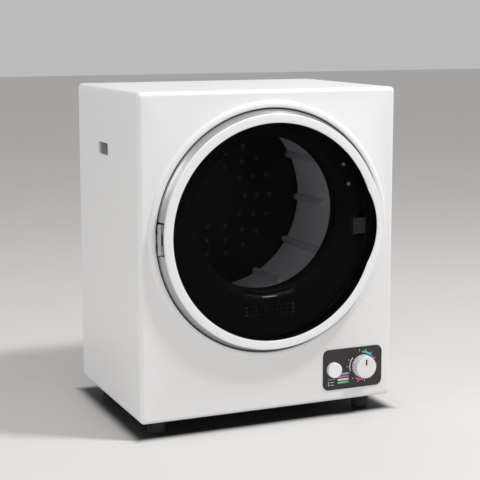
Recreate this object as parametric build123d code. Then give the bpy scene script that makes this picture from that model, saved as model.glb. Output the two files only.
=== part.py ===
"""Compact vented clothes dryer, front loading, modelled in millimetres.

The origin is on the floor, under the centre of the overall box. +X is the viewer's right,
the front faces -Y and +Z is up. Every piece is a separate solid in a STEP file of its own.
"""
from build123d import *
from math import atan2, cos, degrees, hypot, pi, radians, sin, sqrt
import os

# ---------------------------------------------------------------- cabinet
CAB_WIDTH = 490.0
CAB_DEPTH = 344.0
CAB_HEIGHT = 572.0
FOOT_HEIGHT = 28.0
EDGE_R = 8.0              # rounded edges of the cabinet
INNER_R = 0.5             # least corner radius of what lies further in
SHEET = 1.0               # steel sheet of the wrap, front and back
PAN_SHEET = 1.2           # base pan and inner brackets
LAP_GAP = 0.3             # clearance between sheets that lap
REST_GAP = 0.3            # clearance where a piece rests on another
FLANGE = 12.0             # in-turned flanges of the wrap
LAP = 12.0                # how far the front panel's joggle reaches into the wrap
FOOT_INSET = 42.0         # from a side or an end of the cabinet to a foot's axis
FOOT_R = 18.0
FOOT_TIP_R = 15.0
PAN_WALL = 25.0           # upturned edge of the base pan

# ---------------------------------------------------------------- door
DOOR_PROUD = 23.0         # from the front panel to the face of the door ring
DOOR_RISE = 324.0         # from the cabinet's bottom to the door's centre
RING_R = 208.0            # outside of the white ring
RING_WIDTH = 16.0
RING_THICK = 6.0
GROOVE = 1.0              # dark gap behind the ring
BAND_SET = 0.5            # the silver band is this much smaller than the ring
BAND_WALL = 2.5
BAND_FLARE = 7.5          # how far the silver band spreads from its front to its back
BAND_LIP = 1.5            # straight edge at the back of the silver band
WINDOW_SET = 12.0         # how far the window lies behind the ring's face
WINDOW_THICK = 3.0
SHELF = 9.0               # how far the frame reaches in behind the window's edge
GRIP_REACH = 7.0          # how far the window's edge swells at the finger grip
RING_SWELL = 4.0          # how far the ring's outline swells there
GRIP_HALF_ANGLE = 20.0
HINGE_OUT = 5.0           # the hinge axis lies this far outside the ring
HINGE_SET = 12.5          # the hinge axis lies this far in front of the front panel
HINGE_HALF = 26.0
KNUCKLE_R = 3.5
HINGE_PIN_R = 1.5
HINGE_ROOM = 2.0          # above and below the hinge, in the door's edge
HINGE_EAR = 9.0           # from the hinge axis to the inner end of the leaf's ears
FIT = 0.05                # running clearance of small pins, on the radius

# ---------------------------------------------------------------- front panel and bulkhead
DOOR_GAP = 9.5            # from the silver band out to the collar
COLLAR_WIDTH = 13.0       # raised collar round the door
COLLAR_PROUD = 5.0
LIP_FLANGE = 14.0         # in-turned flange that the bulkhead is screwed to
BULK_SET = 2.5            # from the front panel's face to the bulkhead's plate
BULK_THICK = 3.0
MOUTH_R = 137.0           # opening into the drum
MOUTH_WALL = 3.5
FUNNEL_FLARE = 13.0
GRILLE_COLUMNS = 10
GRILLE_ROWS = 3
GRILLE_PITCH_X = 10.0
GRILLE_PITCH_Z = 7.0
GRILLE_HOLE_R = 1.75
GRILLE_DROP = 142.0       # from the door's centre down to the middle row

# ---------------------------------------------------------------- drum
DRUM_RISE = 352.0         # from the cabinet's bottom to the drum's axis
DRUM_R = 171.0            # inside of the drum
DRUM_WALL = 1.2
DRUM_FRONT = 29.5         # from the front panel's face to the drum
DRUM_LENGTH = 225.0
SEAL_WIDTH = 9.5          # from the bulkhead's tube out to the drum's lip
DRUM_LIP = 14.0
RIB_WIDTH = 14.0
RIB_HEIGHT = 9.0
RIB_PHASE = 2.0
LIFTERS = 6               # of each length, turn and turn about
LONG_RIB_START = 37.0     # behind the drum's front edge
SHORT_RIB_START = 98.0
RIB_END = 5.0             # in front of the drum's back wall
SHAFT_R = 7.0
SHAFT_LENGTH = 38.0
HUB_R = 40.0
HUB_THICK = 3.0
REAR_GAP = 5.8            # from the drum's back wall to the rear bulkhead
BEARING_WALL = 5.0
HOUSING_WALL = 9.0
HOUSING_LENGTH = 24.0

# ---------------------------------------------------------------- motor, blower, belt
MOTOR_X = -40.0
MOTOR_RISE = 76.0         # from the cabinet's bottom to the motor's axis
MOTOR_R = 46.0
MOTOR_FRONT = -92.0
MOTOR_BACK = -10.0
MOTOR_SHAFT_R = 6.0
PULLEY_R = 9.0
BELT_Y = 12.0             # middle plane of the belt
BELT_WIDTH = 8.0
BELT_THICK = 2.5
BELT_GAP = 0.3
SCROLL_R = 68.0
SCROLL_SET = 33.5         # from the front panel's face to the blower
SCROLL_DEPTH = 41.0
SCROLL_WALL = 2.0
IMPELLER_R = 56.0
BLADES = 20
EYE_R = 38.0
IDLER_X = 25.0
IDLER_RISE = 87.0
IDLER_R = 15.0
IDLER_ARM_X = -14.0
IDLER_ARM_RISE = 48.0
ARM_THICK = 3.0

# ---------------------------------------------------------------- exhaust
SPIGOT_LENGTH = 38.0
SPIGOT_R = 49.5
SPIGOT_WALL = 1.2
SPIGOT_FLANGE = 15.5      # width of the flange round the spigot
SPIGOT_FLANGE_THICK = 2.0
SPIGOT_STEP = 0.8         # thicker root of the spigot, inside its flange
EXHAUST_SIDE_SET = 25.5   # from the cabinet's left side to the spigot
EXHAUST_LOW_SET = 17.5    # from the cabinet's bottom to the spigot
PIPE_WALL = 1.5

# ---------------------------------------------------------------- controls
PLATE_LEFT = 104.0
PLATE_RIGHT = 225.0
PLATE_LOW = 21.5          # above the cabinet's bottom
PLATE_HIGH = 97.5
PLATE_R = 12.0
PLATE_THICK = 1.5
BEZEL = 2.0
KNOB_X = 183.5
KNOB_RISE = 62.0
KNOB_R = 21.5
KNOB_PROUD = 20.0
KNOB_FLUTES = 36
BUTTON_X = 125.0
BUTTON_RISE = 60.0
BUTTON_R = 14.0
BUTTON_PROUD = 9.5
BUTTON_TRAVEL = 4.0

# ---------------------------------------------------------------- handles
HANDLE_Y = 12.5
HANDLE_RISE = 462.0
HANDLE_LENGTH = 78.0
HANDLE_TALL = 30.0
HANDLE_RIM = 1.2
HANDLE_DEPTH = 22.0
HANDLE_WALL = 2.0
HANDLE_BORDER_Y = 9.0     # width of the rim at the ends of the recess
HANDLE_BORDER_Z = 2.0     # and above and below it

# ---------------------------------------------------------------- derived places
DEPTH = DOOR_PROUD + CAB_DEPTH + SPIGOT_LENGTH
FRONT = -DEPTH / 2 + DOOR_PROUD
BACK = FRONT + CAB_DEPTH
SIDE = CAB_WIDTH / 2
BOTTOM = FOOT_HEIGHT
TOP = FOOT_HEIGHT + CAB_HEIGHT
MID_Z = BOTTOM + CAB_HEIGHT / 2
DOOR_Z = BOTTOM + DOOR_RISE
DRUM_Z = BOTTOM + DRUM_RISE
MOTOR_Z = BOTTOM + MOTOR_RISE
EXHAUST_X = -SIDE + EXHAUST_SIDE_SET + SPIGOT_R
EXHAUST_Z = BOTTOM + EXHAUST_LOW_SET + SPIGOT_R
IDLER_Z = BOTTOM + IDLER_RISE
ARM_Z = BOTTOM + IDLER_ARM_RISE
KNOB_Z = BOTTOM + KNOB_RISE
BUTTON_Z = BOTTOM + BUTTON_RISE
HANDLE_Z = BOTTOM + HANDLE_RISE
PAN_TOP = BOTTOM + SHEET + LAP_GAP + PAN_SHEET
RING_FRONT = FRONT - DOOR_PROUD
DOOR_BACK = FRONT         # the door's back face lies in the plane of the front panel
WINDOW_R = RING_R - RING_WIDTH
BAND_R = RING_R - BAND_SET
LIP_R = BAND_R + DOOR_GAP
COLLAR_R = LIP_R + COLLAR_WIDTH
HINGE_X = -RING_R - HINGE_OUT
FUNNEL_R = MOUTH_R + FUNNEL_FLARE
DRUM_LIP_R = MOUTH_R + MOUTH_WALL + SEAL_WIDTH
SPIGOT_FLANGE_R = SPIGOT_R + SPIGOT_FLANGE
PIPE_R = SPIGOT_R - SPIGOT_WALL - REST_GAP
HINGE_Y = FRONT - HINGE_SET
BULK_FRONT = FRONT + BULK_SET
BULK_BACK = BULK_FRONT + BULK_THICK
BULK_R = LIP_R - 0.5
DRUM_Y0 = FRONT + DRUM_FRONT
DRUM_Y1 = DRUM_Y0 + DRUM_LENGTH
DRUM_OUT = DRUM_R + DRUM_WALL
REAR_Y = DRUM_Y1 + DRUM_WALL + REAR_GAP
BELT_Y0 = BELT_Y - BELT_WIDTH / 2
BELT_Y1 = BELT_Y + BELT_WIDTH / 2
SCROLL_Y0 = FRONT + SCROLL_SET
SCROLL_Y1 = SCROLL_Y0 + SCROLL_DEPTH
SEAM = FRONT + EDGE_R

os.makedirs("parts", exist_ok=True)
PARTS = {}


# ================================================================ helpers
def slab(sketch, y0, y1):
    """A sketch drawn in X and Z, as a plate from y0 to y1."""
    plane = Plane((0, y1, 0), x_dir=(1, 0, 0), z_dir=(0, -1, 0))
    return extrude(plane * sketch, y1 - y0)


def disc(x, z, r, y0, y1):
    return slab(Pos(x, z) * Circle(r), y0, y1)


def tube(x, z, r_out, r_in, y0, y1):
    return slab(Pos(x, z) * (Circle(r_out) - Circle(r_in)), y0, y1)


def block(x0, x1, y0, y1, z0, z1):
    return Pos((x0 + x1) / 2, (y0 + y1) / 2, (z0 + z1) / 2) * Box(x1 - x0, y1 - y0, z1 - z0)


def turned(points, x, z):
    """A profile of (radius, y) points turned about an axis along Y through x and z."""
    face = make_face(Polyline(*points, close=True))
    return Pos(x, 0, z) * revolve(face, Axis.Y, 360)


def upright(x, y, r, z0, z1):
    return Pos(x, y, (z0 + z1) / 2) * Cylinder(r, z1 - z0)


def cabinet_outline(inset):
    """The cabinet's front outline, drawn in by inset."""
    width = CAB_WIDTH - 2 * inset
    height = CAB_HEIGHT - 2 * inset
    return Pos(0, MID_Z) * RectangleRounded(width, height, max(EDGE_R - inset, INNER_R))


def around(x, z, radius, angle):
    """The point at an angle, counted from +X towards +Z."""
    return x + radius * cos(radians(angle)), z + radius * sin(radians(angle))


def screw(x, z, head_y, direction, length):
    """A screw along Y; direction is +1 when its tip points to +Y."""
    if direction > 0:
        seat = head_y + SCREW_HEAD_THICK
        head = disc(x, z, SCREW_HEAD_R, head_y, seat)
        return head + disc(x, z, SCREW_SHANK_R, seat, seat + length)
    seat = head_y - SCREW_HEAD_THICK
    head = disc(x, z, SCREW_HEAD_R, seat, head_y)
    return head + disc(x, z, SCREW_SHANK_R, seat - length, seat)


def keep(name, shape):
    PARTS[name] = shape


# ================================================================ places shared by mating pieces
BULK_SCREW_R = LIP_R - LIP_FLANGE / 2
BULK_SCREW_ANGLES = [15, 47, 100, 150, 210, 250, 300, 335]
BOSS_SCREWS = [(143.0, DOOR_Z + 112.0), (153.0, DOOR_Z + 76.0)]
BOSS_LENGTH = 12.0
SCREW_HEAD_R = 3.4
SCREW_HEAD_THICK = 1.8
SCREW_SHANK_R = 1.6
SCREW_HOLE_R = 1.8
BACK_SCREWS = [(sx * (SIDE - 7.5), z) for sx in (-1, 1)
               for z in (BOTTOM + 40, MID_Z, TOP - 40)]
SPIGOT_SCREW_R = SPIGOT_R + SPIGOT_FLANGE / 2
SPIGOT_SCREW_ANGLES = [45, 135, 225, 315]
FEET = [(sx * (SIDE - FOOT_INSET), y) for sx in (-1, 1)
        for y in (FRONT + FOOT_INSET, BACK - FOOT_INSET)]
FOOT_NECK_R = 10.0
LATCH_Z = DOOR_Z
SLOT_X0 = WINDOW_R - 37.5
SLOT_X1 = SLOT_X0 + 20.0
SLOT_HALF = 18.0
GLAND_X = SIDE - 60.0
GLAND_Z = BOTTOM + 60.0
GLAND_R = 8.0
GLAND_BORE_R = 4.0
FILTER_HALF = 47.5
FILTER_LOW = DOOR_Z - 159.5
FILTER_HIGH = DOOR_Z - 117.0
FILTER_Y0 = BULK_BACK + 0.7
FILTER_Y1 = FILTER_Y0 + 7.0
POCKET_WALL = 2.5
PLUNGER_X = (SLOT_X0 + SLOT_X1) / 2
PLUNGER_R = 2.5
TIMER_SHAFT_R = 3.0
HEATER_HALF = 90.0
HEATER_LOW = DRUM_Z + 50.0
HEATER_HIGH = DRUM_Z + 160.0
HEATER_Y1 = BACK - SHEET - 14.0
SLOT_ROWS = 7
SLOT_PITCH = 14.0
IDLER_PIN_R = 4.0
ARM_Y0 = BELT_Y1 + 3.0
BRACKET_Y0 = ARM_Y0 + ARM_THICK + REST_GAP
PLATE_X = (PLATE_LEFT + PLATE_RIGHT) / 2
PLATE_Z = BOTTOM + (PLATE_LOW + PLATE_HIGH) / 2
PLATE_W = PLATE_RIGHT - PLATE_LEFT
PLATE_H = PLATE_HIGH - PLATE_LOW
KNOB_BASE = FRONT - PLATE_THICK - 0.5
KNOB_FACE = FRONT - KNOB_PROUD
TIMER_Y0 = FRONT + SHEET
TIMER_Y1 = FRONT + 45.0
BUTTON_FACE = FRONT - BUTTON_PROUD
CENTRE_KNUCKLE = 9.7


# ================================================================ cabinet shells
def cabinet_wrap():
    outer = cabinet_outline(0)
    inner = cabinet_outline(SHEET)
    body = slab(outer - inner, SEAM, BACK - SHEET)
    rear = slab(inner - cabinet_outline(FLANGE), BACK - 2 * SHEET, BACK - SHEET)
    body += rear
    open_half = SIDE - EDGE_R - 2 * FLANGE
    body -= block(-open_half, open_half, SEAM - 1, BACK - 3 * SHEET, BOTTOM - 1, BOTTOM + 2)
    for side in (-1, 1):
        body -= Pos(side * SIDE, HANDLE_Y, HANDLE_Z) * Box(
            8, HANDLE_LENGTH - 2 * HANDLE_BORDER_Y, HANDLE_TALL - 2 * HANDLE_BORDER_Z)
    for x, z in BACK_SCREWS:
        body -= disc(x, z, SCREW_HOLE_R, BACK - 4 * SHEET, BACK + 1)
    return body


def front_panel():
    skin = slab(cabinet_outline(0), FRONT, SEAM)
    front_edges = skin.edges().filter_by_position(Axis.Y, FRONT - 0.01, FRONT + 0.01)
    skin = fillet(front_edges, EDGE_R - 0.5)
    hollow = slab(cabinet_outline(SHEET), FRONT + SHEET, SEAM + 1)
    hollow_edges = hollow.edges().filter_by_position(Axis.Y, FRONT + SHEET - 0.01, FRONT + SHEET + 0.01)
    hollow = fillet(hollow_edges, EDGE_R - 0.5 - SHEET)
    skin -= hollow
    step = SHEET + LAP_GAP
    joggle = slab(cabinet_outline(SHEET / 2) - cabinet_outline(step + SHEET), SEAM - SHEET, SEAM)
    joggle += slab(cabinet_outline(step) - cabinet_outline(step + SHEET), SEAM - SHEET, SEAM + LAP)
    skin += joggle
    skin -= disc(0, DOOR_Z, COLLAR_R - 1.0, FRONT - 1, SEAM)
    lip_back = BULK_BACK + REST_GAP
    top = FRONT - COLLAR_PROUD
    collar = turned([(COLLAR_R, FRONT), (COLLAR_R - 2.5, FRONT - 2.6), (COLLAR_R - 5.5, FRONT - 4.2),
                     (LIP_R + 3.0, top), (LIP_R + 1.0, top), (LIP_R, top + 1.0),
                     (LIP_R, lip_back), (LIP_R - LIP_FLANGE, lip_back),
                     (LIP_R - LIP_FLANGE, lip_back + SHEET), (LIP_R + SHEET, lip_back + SHEET),
                     (LIP_R + SHEET, top + SHEET + 0.6), (LIP_R + 3.0, top + SHEET),
                     (COLLAR_R - 6.0, FRONT - 3.0), (COLLAR_R - 3.4, FRONT - 1.6),
                     (COLLAR_R - 1.4, FRONT + SHEET), (COLLAR_R, FRONT + SHEET)], 0, DOOR_Z)
    skin += collar
    for angle in BULK_SCREW_ANGLES:
        x, z = around(0, DOOR_Z, BULK_SCREW_R, angle)
        skin -= disc(x, z, SCREW_HOLE_R, lip_back - 1, lip_back + 2 * SHEET)
    skin -= disc(KNOB_X, KNOB_Z, TIMER_SHAFT_R + 2.0, FRONT - 2, SEAM)
    skin -= disc(BUTTON_X, BUTTON_Z, BUTTON_R + REST_GAP, FRONT - 2, SEAM)
    return skin


def base_pan():
    step = SHEET + LAP_GAP
    y0 = SEAM + LAP + REST_GAP
    y1 = BACK - 2 * SHEET - REST_GAP
    wall_top = BOTTOM + step + PAN_WALL
    cut = Pos(0, wall_top / 2) * Rectangle(CAB_WIDTH, wall_top)
    trough = (cabinet_outline(step) - cabinet_outline(step + PAN_SHEET)) & cut
    pan = slab(trough, y0, y1)
    for low in (y0, y1 - PAN_SHEET):
        pan += slab(cabinet_outline(step) & cut, low, low + PAN_SHEET)
    for x, y in FEET:
        pan -= upright(x, y, 4.2, BOTTOM, PAN_TOP + 1)
    return pan - disc(EXHAUST_X, EXHAUST_Z, SPIGOT_FLANGE_R - 5, y1 - 2 * PAN_SHEET, y1 + 1)


def foot(x, y):
    """A rubber foot with a neck to the pan and a stud through it."""
    low = Pos(x, y, FOOT_HEIGHT / 2) * Cone(FOOT_TIP_R, FOOT_R, FOOT_HEIGHT)
    neck = upright(x, y, FOOT_NECK_R, FOOT_HEIGHT, PAN_TOP - PAN_SHEET)
    return low + neck + upright(x, y, 4.0, PAN_TOP - PAN_SHEET, PAN_TOP + 4)


def intake_slots(y0, y1):
    """Rows of air slots in the back panel, behind the heater."""
    slots = []
    middle = (HEATER_LOW + HEATER_HIGH) / 2
    for column in (-1, 0, 1):
        for row in range(SLOT_ROWS):
            z = middle + (row - (SLOT_ROWS - 1) / 2) * SLOT_PITCH
            slots.append(Pos(column * 56.0, z) * SlotOverall(46, 5))
    return slab(Sketch() + slots, y0, y1)


def back_panel():
    outline = Pos(0, MID_Z) * RectangleRounded(CAB_WIDTH - 4, CAB_HEIGHT - 4, EDGE_R - 2)
    panel = slab(outline, BACK - SHEET, BACK)
    panel -= intake_slots(BACK - 2 * SHEET, BACK + 1)
    panel -= disc(EXHAUST_X, EXHAUST_Z, PIPE_R + REST_GAP, BACK - 3, BACK + 1)
    panel -= disc(GLAND_X, GLAND_Z, GLAND_R, BACK - 3, BACK + 1)
    for x, z in BACK_SCREWS:
        panel -= disc(x, z, SCREW_HOLE_R, BACK - 3, BACK + 1)
    for angle in SPIGOT_SCREW_ANGLES:
        x, z = around(EXHAUST_X, EXHAUST_Z, SPIGOT_SCREW_R, angle)
        panel -= disc(x, z, SCREW_HOLE_R, BACK - 3, BACK + 1)
    return panel


def handle_cup(side):
    """A recessed carrying handle, drawn for the right side and mirrored for the left."""
    rim = Plane.YZ * (Pos(HANDLE_Y, HANDLE_Z) * RectangleRounded(HANDLE_LENGTH, HANDLE_TALL, 9))
    rim = Pos(SIDE, 0, 0) * extrude(rim, HANDLE_RIM)
    rim = fillet(rim.faces().sort_by(Axis.X)[-1].edges(), 1.0)
    shell_w = HANDLE_LENGTH - 2 * HANDLE_BORDER_Y - 2 * LAP_GAP
    shell_h = HANDLE_TALL - 2 * HANDLE_BORDER_Z - 2 * LAP_GAP
    cup = Plane.YZ * (Pos(HANDLE_Y, HANDLE_Z) * RectangleRounded(shell_w, shell_h, 5))
    cup = Pos(SIDE - HANDLE_DEPTH, 0, 0) * extrude(cup, HANDLE_DEPTH)
    room_w = shell_w - 2 * HANDLE_WALL
    room_h = shell_h - 2 * HANDLE_WALL
    room = Plane.YZ * (Pos(HANDLE_Y, HANDLE_Z) * RectangleRounded(room_w, room_h, 4))
    room = Pos(SIDE - HANDLE_DEPTH + HANDLE_WALL, 0, 0) * extrude(room, HANDLE_DEPTH + 4)
    cup = rim + cup - room
    return cup if side > 0 else mirror(cup, Plane.YZ)


# ================================================================ front bulkhead
def bulkhead():
    """Black moulding behind the door: plate, funnel to the drum, air grille, filter pocket."""
    tube_back = DRUM_Y0 + DRUM_LIP - 1.0
    cone_back = BULK_FRONT + 14.0
    plate = slab(Pos(0, DOOR_Z) * Circle(BULK_R) - Pos(0, DRUM_Z) * Circle(FUNNEL_R - 0.5),
                 BULK_FRONT, BULK_BACK)
    funnel = turned([(FUNNEL_R, BULK_FRONT), (MOUTH_R, cone_back), (MOUTH_R, tube_back),
                     (MOUTH_R + MOUTH_WALL, tube_back), (MOUTH_R + MOUTH_WALL, cone_back + 1.5),
                     (FUNNEL_R + 2.0, BULK_FRONT + 2.0), (FUNNEL_R + 2.0, BULK_FRONT)], 0, DRUM_Z)
    body = plate + funnel
    pocket_half = FILTER_HALF + REST_GAP
    outer_half = pocket_half + POCKET_WALL
    floor_z = FILTER_LOW - REST_GAP
    pocket_y0 = BULK_BACK - 0.5
    pocket_y1 = FILTER_Y1 + REST_GAP + 1.5
    pocket = block(-outer_half, outer_half, pocket_y0, pocket_y1, floor_z - POCKET_WALL, FILTER_HIGH)
    pocket -= disc(0, DRUM_Z, FUNNEL_R - 1.5, pocket_y0 - 1, pocket_y1 + 1)
    body += pocket
    body -= block(-pocket_half, pocket_half, BULK_BACK, FILTER_Y1 + REST_GAP, floor_z, FILTER_HIGH + 40)
    window_half = pocket_half - 4
    body -= block(-window_half, window_half, FILTER_Y1, pocket_y1 + 1, floor_z + 4, FILTER_LOW + 32)
    body -= disc(0, DRUM_Z, MOUTH_R, BULK_FRONT - 1, tube_back + 1)
    for column in range(GRILLE_COLUMNS):
        for row in range(GRILLE_ROWS):
            x = (column - (GRILLE_COLUMNS - 1) / 2) * GRILLE_PITCH_X
            z = DOOR_Z - GRILLE_DROP + (row - (GRILLE_ROWS - 1) / 2) * GRILLE_PITCH_Z
            body -= disc(x, z, GRILLE_HOLE_R, BULK_FRONT - 1, BULK_BACK + 0.6)
    for x, z in BOSS_SCREWS:
        body += disc(x, z, 4.5, BULK_BACK - 0.5, BULK_BACK + BOSS_LENGTH)
        body -= disc(x, z, SCREW_HOLE_R, BULK_FRONT - 1, BULK_BACK + BOSS_LENGTH + 1)
    body -= block(SLOT_X0, SLOT_X1, BULK_FRONT - 1, BULK_BACK + 1,
                  LATCH_Z - SLOT_HALF, LATCH_Z + SLOT_HALF)
    for angle in BULK_SCREW_ANGLES:
        x, z = around(0, DOOR_Z, BULK_SCREW_R, angle)
        body -= disc(x, z, SCREW_HOLE_R, BULK_FRONT - 1, BULK_BACK + 1)
    return body


def bulkhead_screws():
    screws = []
    for angle in BULK_SCREW_ANGLES:
        x, z = around(0, DOOR_Z, BULK_SCREW_R, angle)
        screws.append(screw(x, z, BULK_FRONT - SCREW_HEAD_THICK, 1, 9))
    for x, z in BOSS_SCREWS:
        screws.append(screw(x, z, BULK_FRONT - SCREW_HEAD_THICK, 1, BOSS_LENGTH))
    return Compound(children=screws)


def front_felt_seal():
    return tube(0, DRUM_Z, DRUM_LIP_R - REST_GAP, MOUTH_R + MOUTH_WALL + FIT, DRUM_Y0 + 1, DRUM_Y0 + 6)


def drum_glides():
    """Two low-friction pads on top of the bulkhead's tube, on which the drum's lip turns."""
    pads = []
    seat_r = MOUTH_R + MOUTH_WALL + FIT
    for middle in (45, 135):
        ring = tube(0, DRUM_Z, DRUM_LIP_R - 0.1, seat_r, DRUM_Y0 + 6.5, DRUM_Y0 + 12)
        x, z = around(0, DRUM_Z, DRUM_LIP_R, middle)
        pads.append(ring & (Pos(x, 0, z) * Rot(0, -middle, 0) * Box(60, 400, 46)))
    return Compound(children=pads)


# ================================================================ drum
def lifter_shape(start, angle):
    """A rounded ridge along Y on the inside of the drum."""
    y0 = DRUM_Y0 + start
    y1 = DRUM_Y1 - RIB_END
    half = RIB_WIDTH / 2
    base = DRUM_R - 0.3
    ridge = slab(Pos(base - RIB_HEIGHT / 2, 0) * Rectangle(RIB_HEIGHT, RIB_WIDTH), y0, y1)
    crest = ridge.faces().sort_by(Axis.X)[0]
    ridge = fillet(crest.edges(), half * 0.55)
    ridge += slab(Pos(base + 0.5, 0) * Rectangle(3, RIB_WIDTH), y0, y1) & disc(0, 0, base, y0, y1)
    return Pos(0, 0, DRUM_Z) * Rot(0, -angle, 0) * ridge


def drum_shell():
    body = tube(0, DRUM_Z, DRUM_OUT, DRUM_R, DRUM_Y0, DRUM_Y1 + DRUM_WALL)
    body += tube(0, DRUM_Z, DRUM_OUT, DRUM_LIP_R, DRUM_Y0, DRUM_Y0 + DRUM_WALL)
    body += tube(0, DRUM_Z, DRUM_LIP_R + DRUM_WALL, DRUM_LIP_R, DRUM_Y0, DRUM_Y0 + DRUM_LIP)
    body += disc(0, DRUM_Z, DRUM_OUT, DRUM_Y1, DRUM_Y1 + DRUM_WALL)
    holes = []
    for radius, count in ((60, 10), (86, 14), (112, 18)):
        for step in range(count):
            x, z = around(0, DRUM_Z, radius, 360 * step / count)
            holes.append(Pos(x, z) * Circle(4.5))
    body -= slab(Sketch() + holes, DRUM_Y1 - 1, DRUM_Y1 + DRUM_WALL + 1)
    return body


def lifters(start, turn):
    """A ring of like lifters; turn is the first one's place, as a share of their pitch."""
    pitch = 360 / LIFTERS
    ring = [lifter_shape(start, (step + turn) * pitch - RIB_PHASE) for step in range(LIFTERS)]
    return Compound(children=ring)


def drum_hub():
    y0 = DRUM_Y1 + DRUM_WALL
    hub = disc(0, DRUM_Z, HUB_R, y0, y0 + HUB_THICK)
    hub += disc(0, DRUM_Z, SHAFT_R, y0 + HUB_THICK, y0 + SHAFT_LENGTH)
    for step in range(6):
        x, z = around(0, DRUM_Z, HUB_R - 9, 60 * step)
        hub += disc(x, z, 4, y0 + HUB_THICK, y0 + HUB_THICK + 2)
    return hub


def rear_felt_seal():
    y0 = DRUM_Y1 + DRUM_WALL + REST_GAP
    return tube(0, DRUM_Z, 162, 152, y0, REAR_Y)


def rear_bulkhead():
    """Steel plate that closes the drum's back and carries its bearing."""
    y1 = REAR_Y + PAN_SHEET
    step = SHEET + LAP_GAP
    low = BOTTOM + step + PAN_WALL + REST_GAP
    outline = cabinet_outline(step) & (Pos(0, (low + TOP) / 2) * Rectangle(CAB_WIDTH, TOP - low))
    foot_strip = cabinet_outline(step + PAN_SHEET + REST_GAP)
    plate = slab(outline + foot_strip, REAR_Y, y1)
    plate -= disc(0, DRUM_Z, SHAFT_R + BEARING_WALL, REAR_Y - 1, y1 + 1)
    plate -= disc(EXHAUST_X, EXHAUST_Z, PIPE_R + REST_GAP, REAR_Y - 1, y1 + 1)
    air = [Pos(x, DRUM_Z + 105) * SlotOverall(40, 22, rotation=90) for x in (-70, -35, 0, 35, 70)]
    plate -= slab(Sketch() + air, REAR_Y - 1, y1 + 1)
    return plate


def bearing_housing():
    y0 = REAR_Y + PAN_SHEET
    bore = SHAFT_R + BEARING_WALL + FIT
    housing = tube(0, DRUM_Z, bore + HOUSING_WALL, bore, y0, y0 + HOUSING_LENGTH)
    housing += tube(0, DRUM_Z, bore + HOUSING_WALL + 18, bore, y0, y0 + 3)
    return housing


def drum_bearing():
    y0 = REAR_Y + PAN_SHEET
    return tube(0, DRUM_Z, SHAFT_R + BEARING_WALL, SHAFT_R + FIT, y0, y0 + HOUSING_LENGTH)


# ================================================================ heater
def heater_housing():
    """Box behind the rear bulkhead, open towards it and, through slots, to the back."""
    y0 = REAR_Y + PAN_SHEET
    box = block(-HEATER_HALF, HEATER_HALF, y0, HEATER_Y1, HEATER_LOW, HEATER_HIGH)
    wall = 1.0
    box -= block(-HEATER_HALF + wall, HEATER_HALF - wall, y0 - 1, HEATER_Y1 - wall,
                 HEATER_LOW + wall, HEATER_HIGH - wall)
    slots = intake_slots(HEATER_Y1 - 2 * wall, HEATER_Y1 + 1)
    return box - slots


def heater_element():
    """Ceramic heater: a frame with cross bars, held between the housing's side walls."""
    half = HEATER_HALF - 1.0
    y0 = REAR_Y + 30
    z0 = HEATER_LOW + 20
    z1 = HEATER_HIGH - 20
    frame = block(-half, half, y0, y0 + 16, z0, z1)
    bars = 6
    pitch = (z1 - z0 - 6) / bars
    for bar in range(bars):
        low = z0 + 3 + bar * pitch
        frame -= block(-half + 8, half - 8, y0 - 1, y0 + 17, low + 1.5, low + pitch - 1.5)
    return frame


def thermostats():
    discs = []
    for x in (-30, 30):
        y = REAR_Y + 22
        discs.append(upright(x, y, 8, HEATER_HIGH, HEATER_HIGH + 7))
        discs[-1] += Pos(x, y, HEATER_HIGH + 0.5) * Box(26, 8, 1)
    return Compound(children=discs)


# ================================================================ air path and motor
def scroll_outline(grow):
    """Blower scroll with its outlet channel to the exhaust pipe, seen from the front."""
    wheel = Pos(MOTOR_X, MOTOR_Z) * Circle(SCROLL_R + grow)
    end = Pos(EXHAUST_X, EXHAUST_Z) * Circle(PIPE_R + 2 + grow)
    half = PIPE_R + 2 + grow
    width = MOTOR_X - EXHAUST_X
    channel = Pos((MOTOR_X + EXHAUST_X) / 2, EXHAUST_Z) * Rectangle(width, 2 * half)
    return wheel + end + channel


def blower_housing():
    body = slab(scroll_outline(0), SCROLL_Y0, SCROLL_Y1)
    body -= slab(scroll_outline(-SCROLL_WALL), SCROLL_Y0 + SCROLL_WALL, SCROLL_Y1 - SCROLL_WALL)
    body -= disc(MOTOR_X, MOTOR_Z, EYE_R, SCROLL_Y0 - 1, SCROLL_Y0 + SCROLL_WALL + 1)
    body -= disc(MOTOR_X, MOTOR_Z, MOTOR_SHAFT_R + 3, SCROLL_Y1 - SCROLL_WALL - 1, SCROLL_Y1 + 1)
    body -= disc(EXHAUST_X, EXHAUST_Z, PIPE_R - PIPE_WALL, SCROLL_Y1 - SCROLL_WALL - 1, SCROLL_Y1 + 1)
    for x in (MOTOR_X - 30, MOTOR_X + 30):
        lug_top = MOTOR_Z - sqrt(SCROLL_R ** 2 - 30 ** 2) + 1.5
        body += block(x - 8, x + 8, SCROLL_Y0 + 12, SCROLL_Y0 + 30, PAN_TOP, lug_top)
    return body


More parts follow.
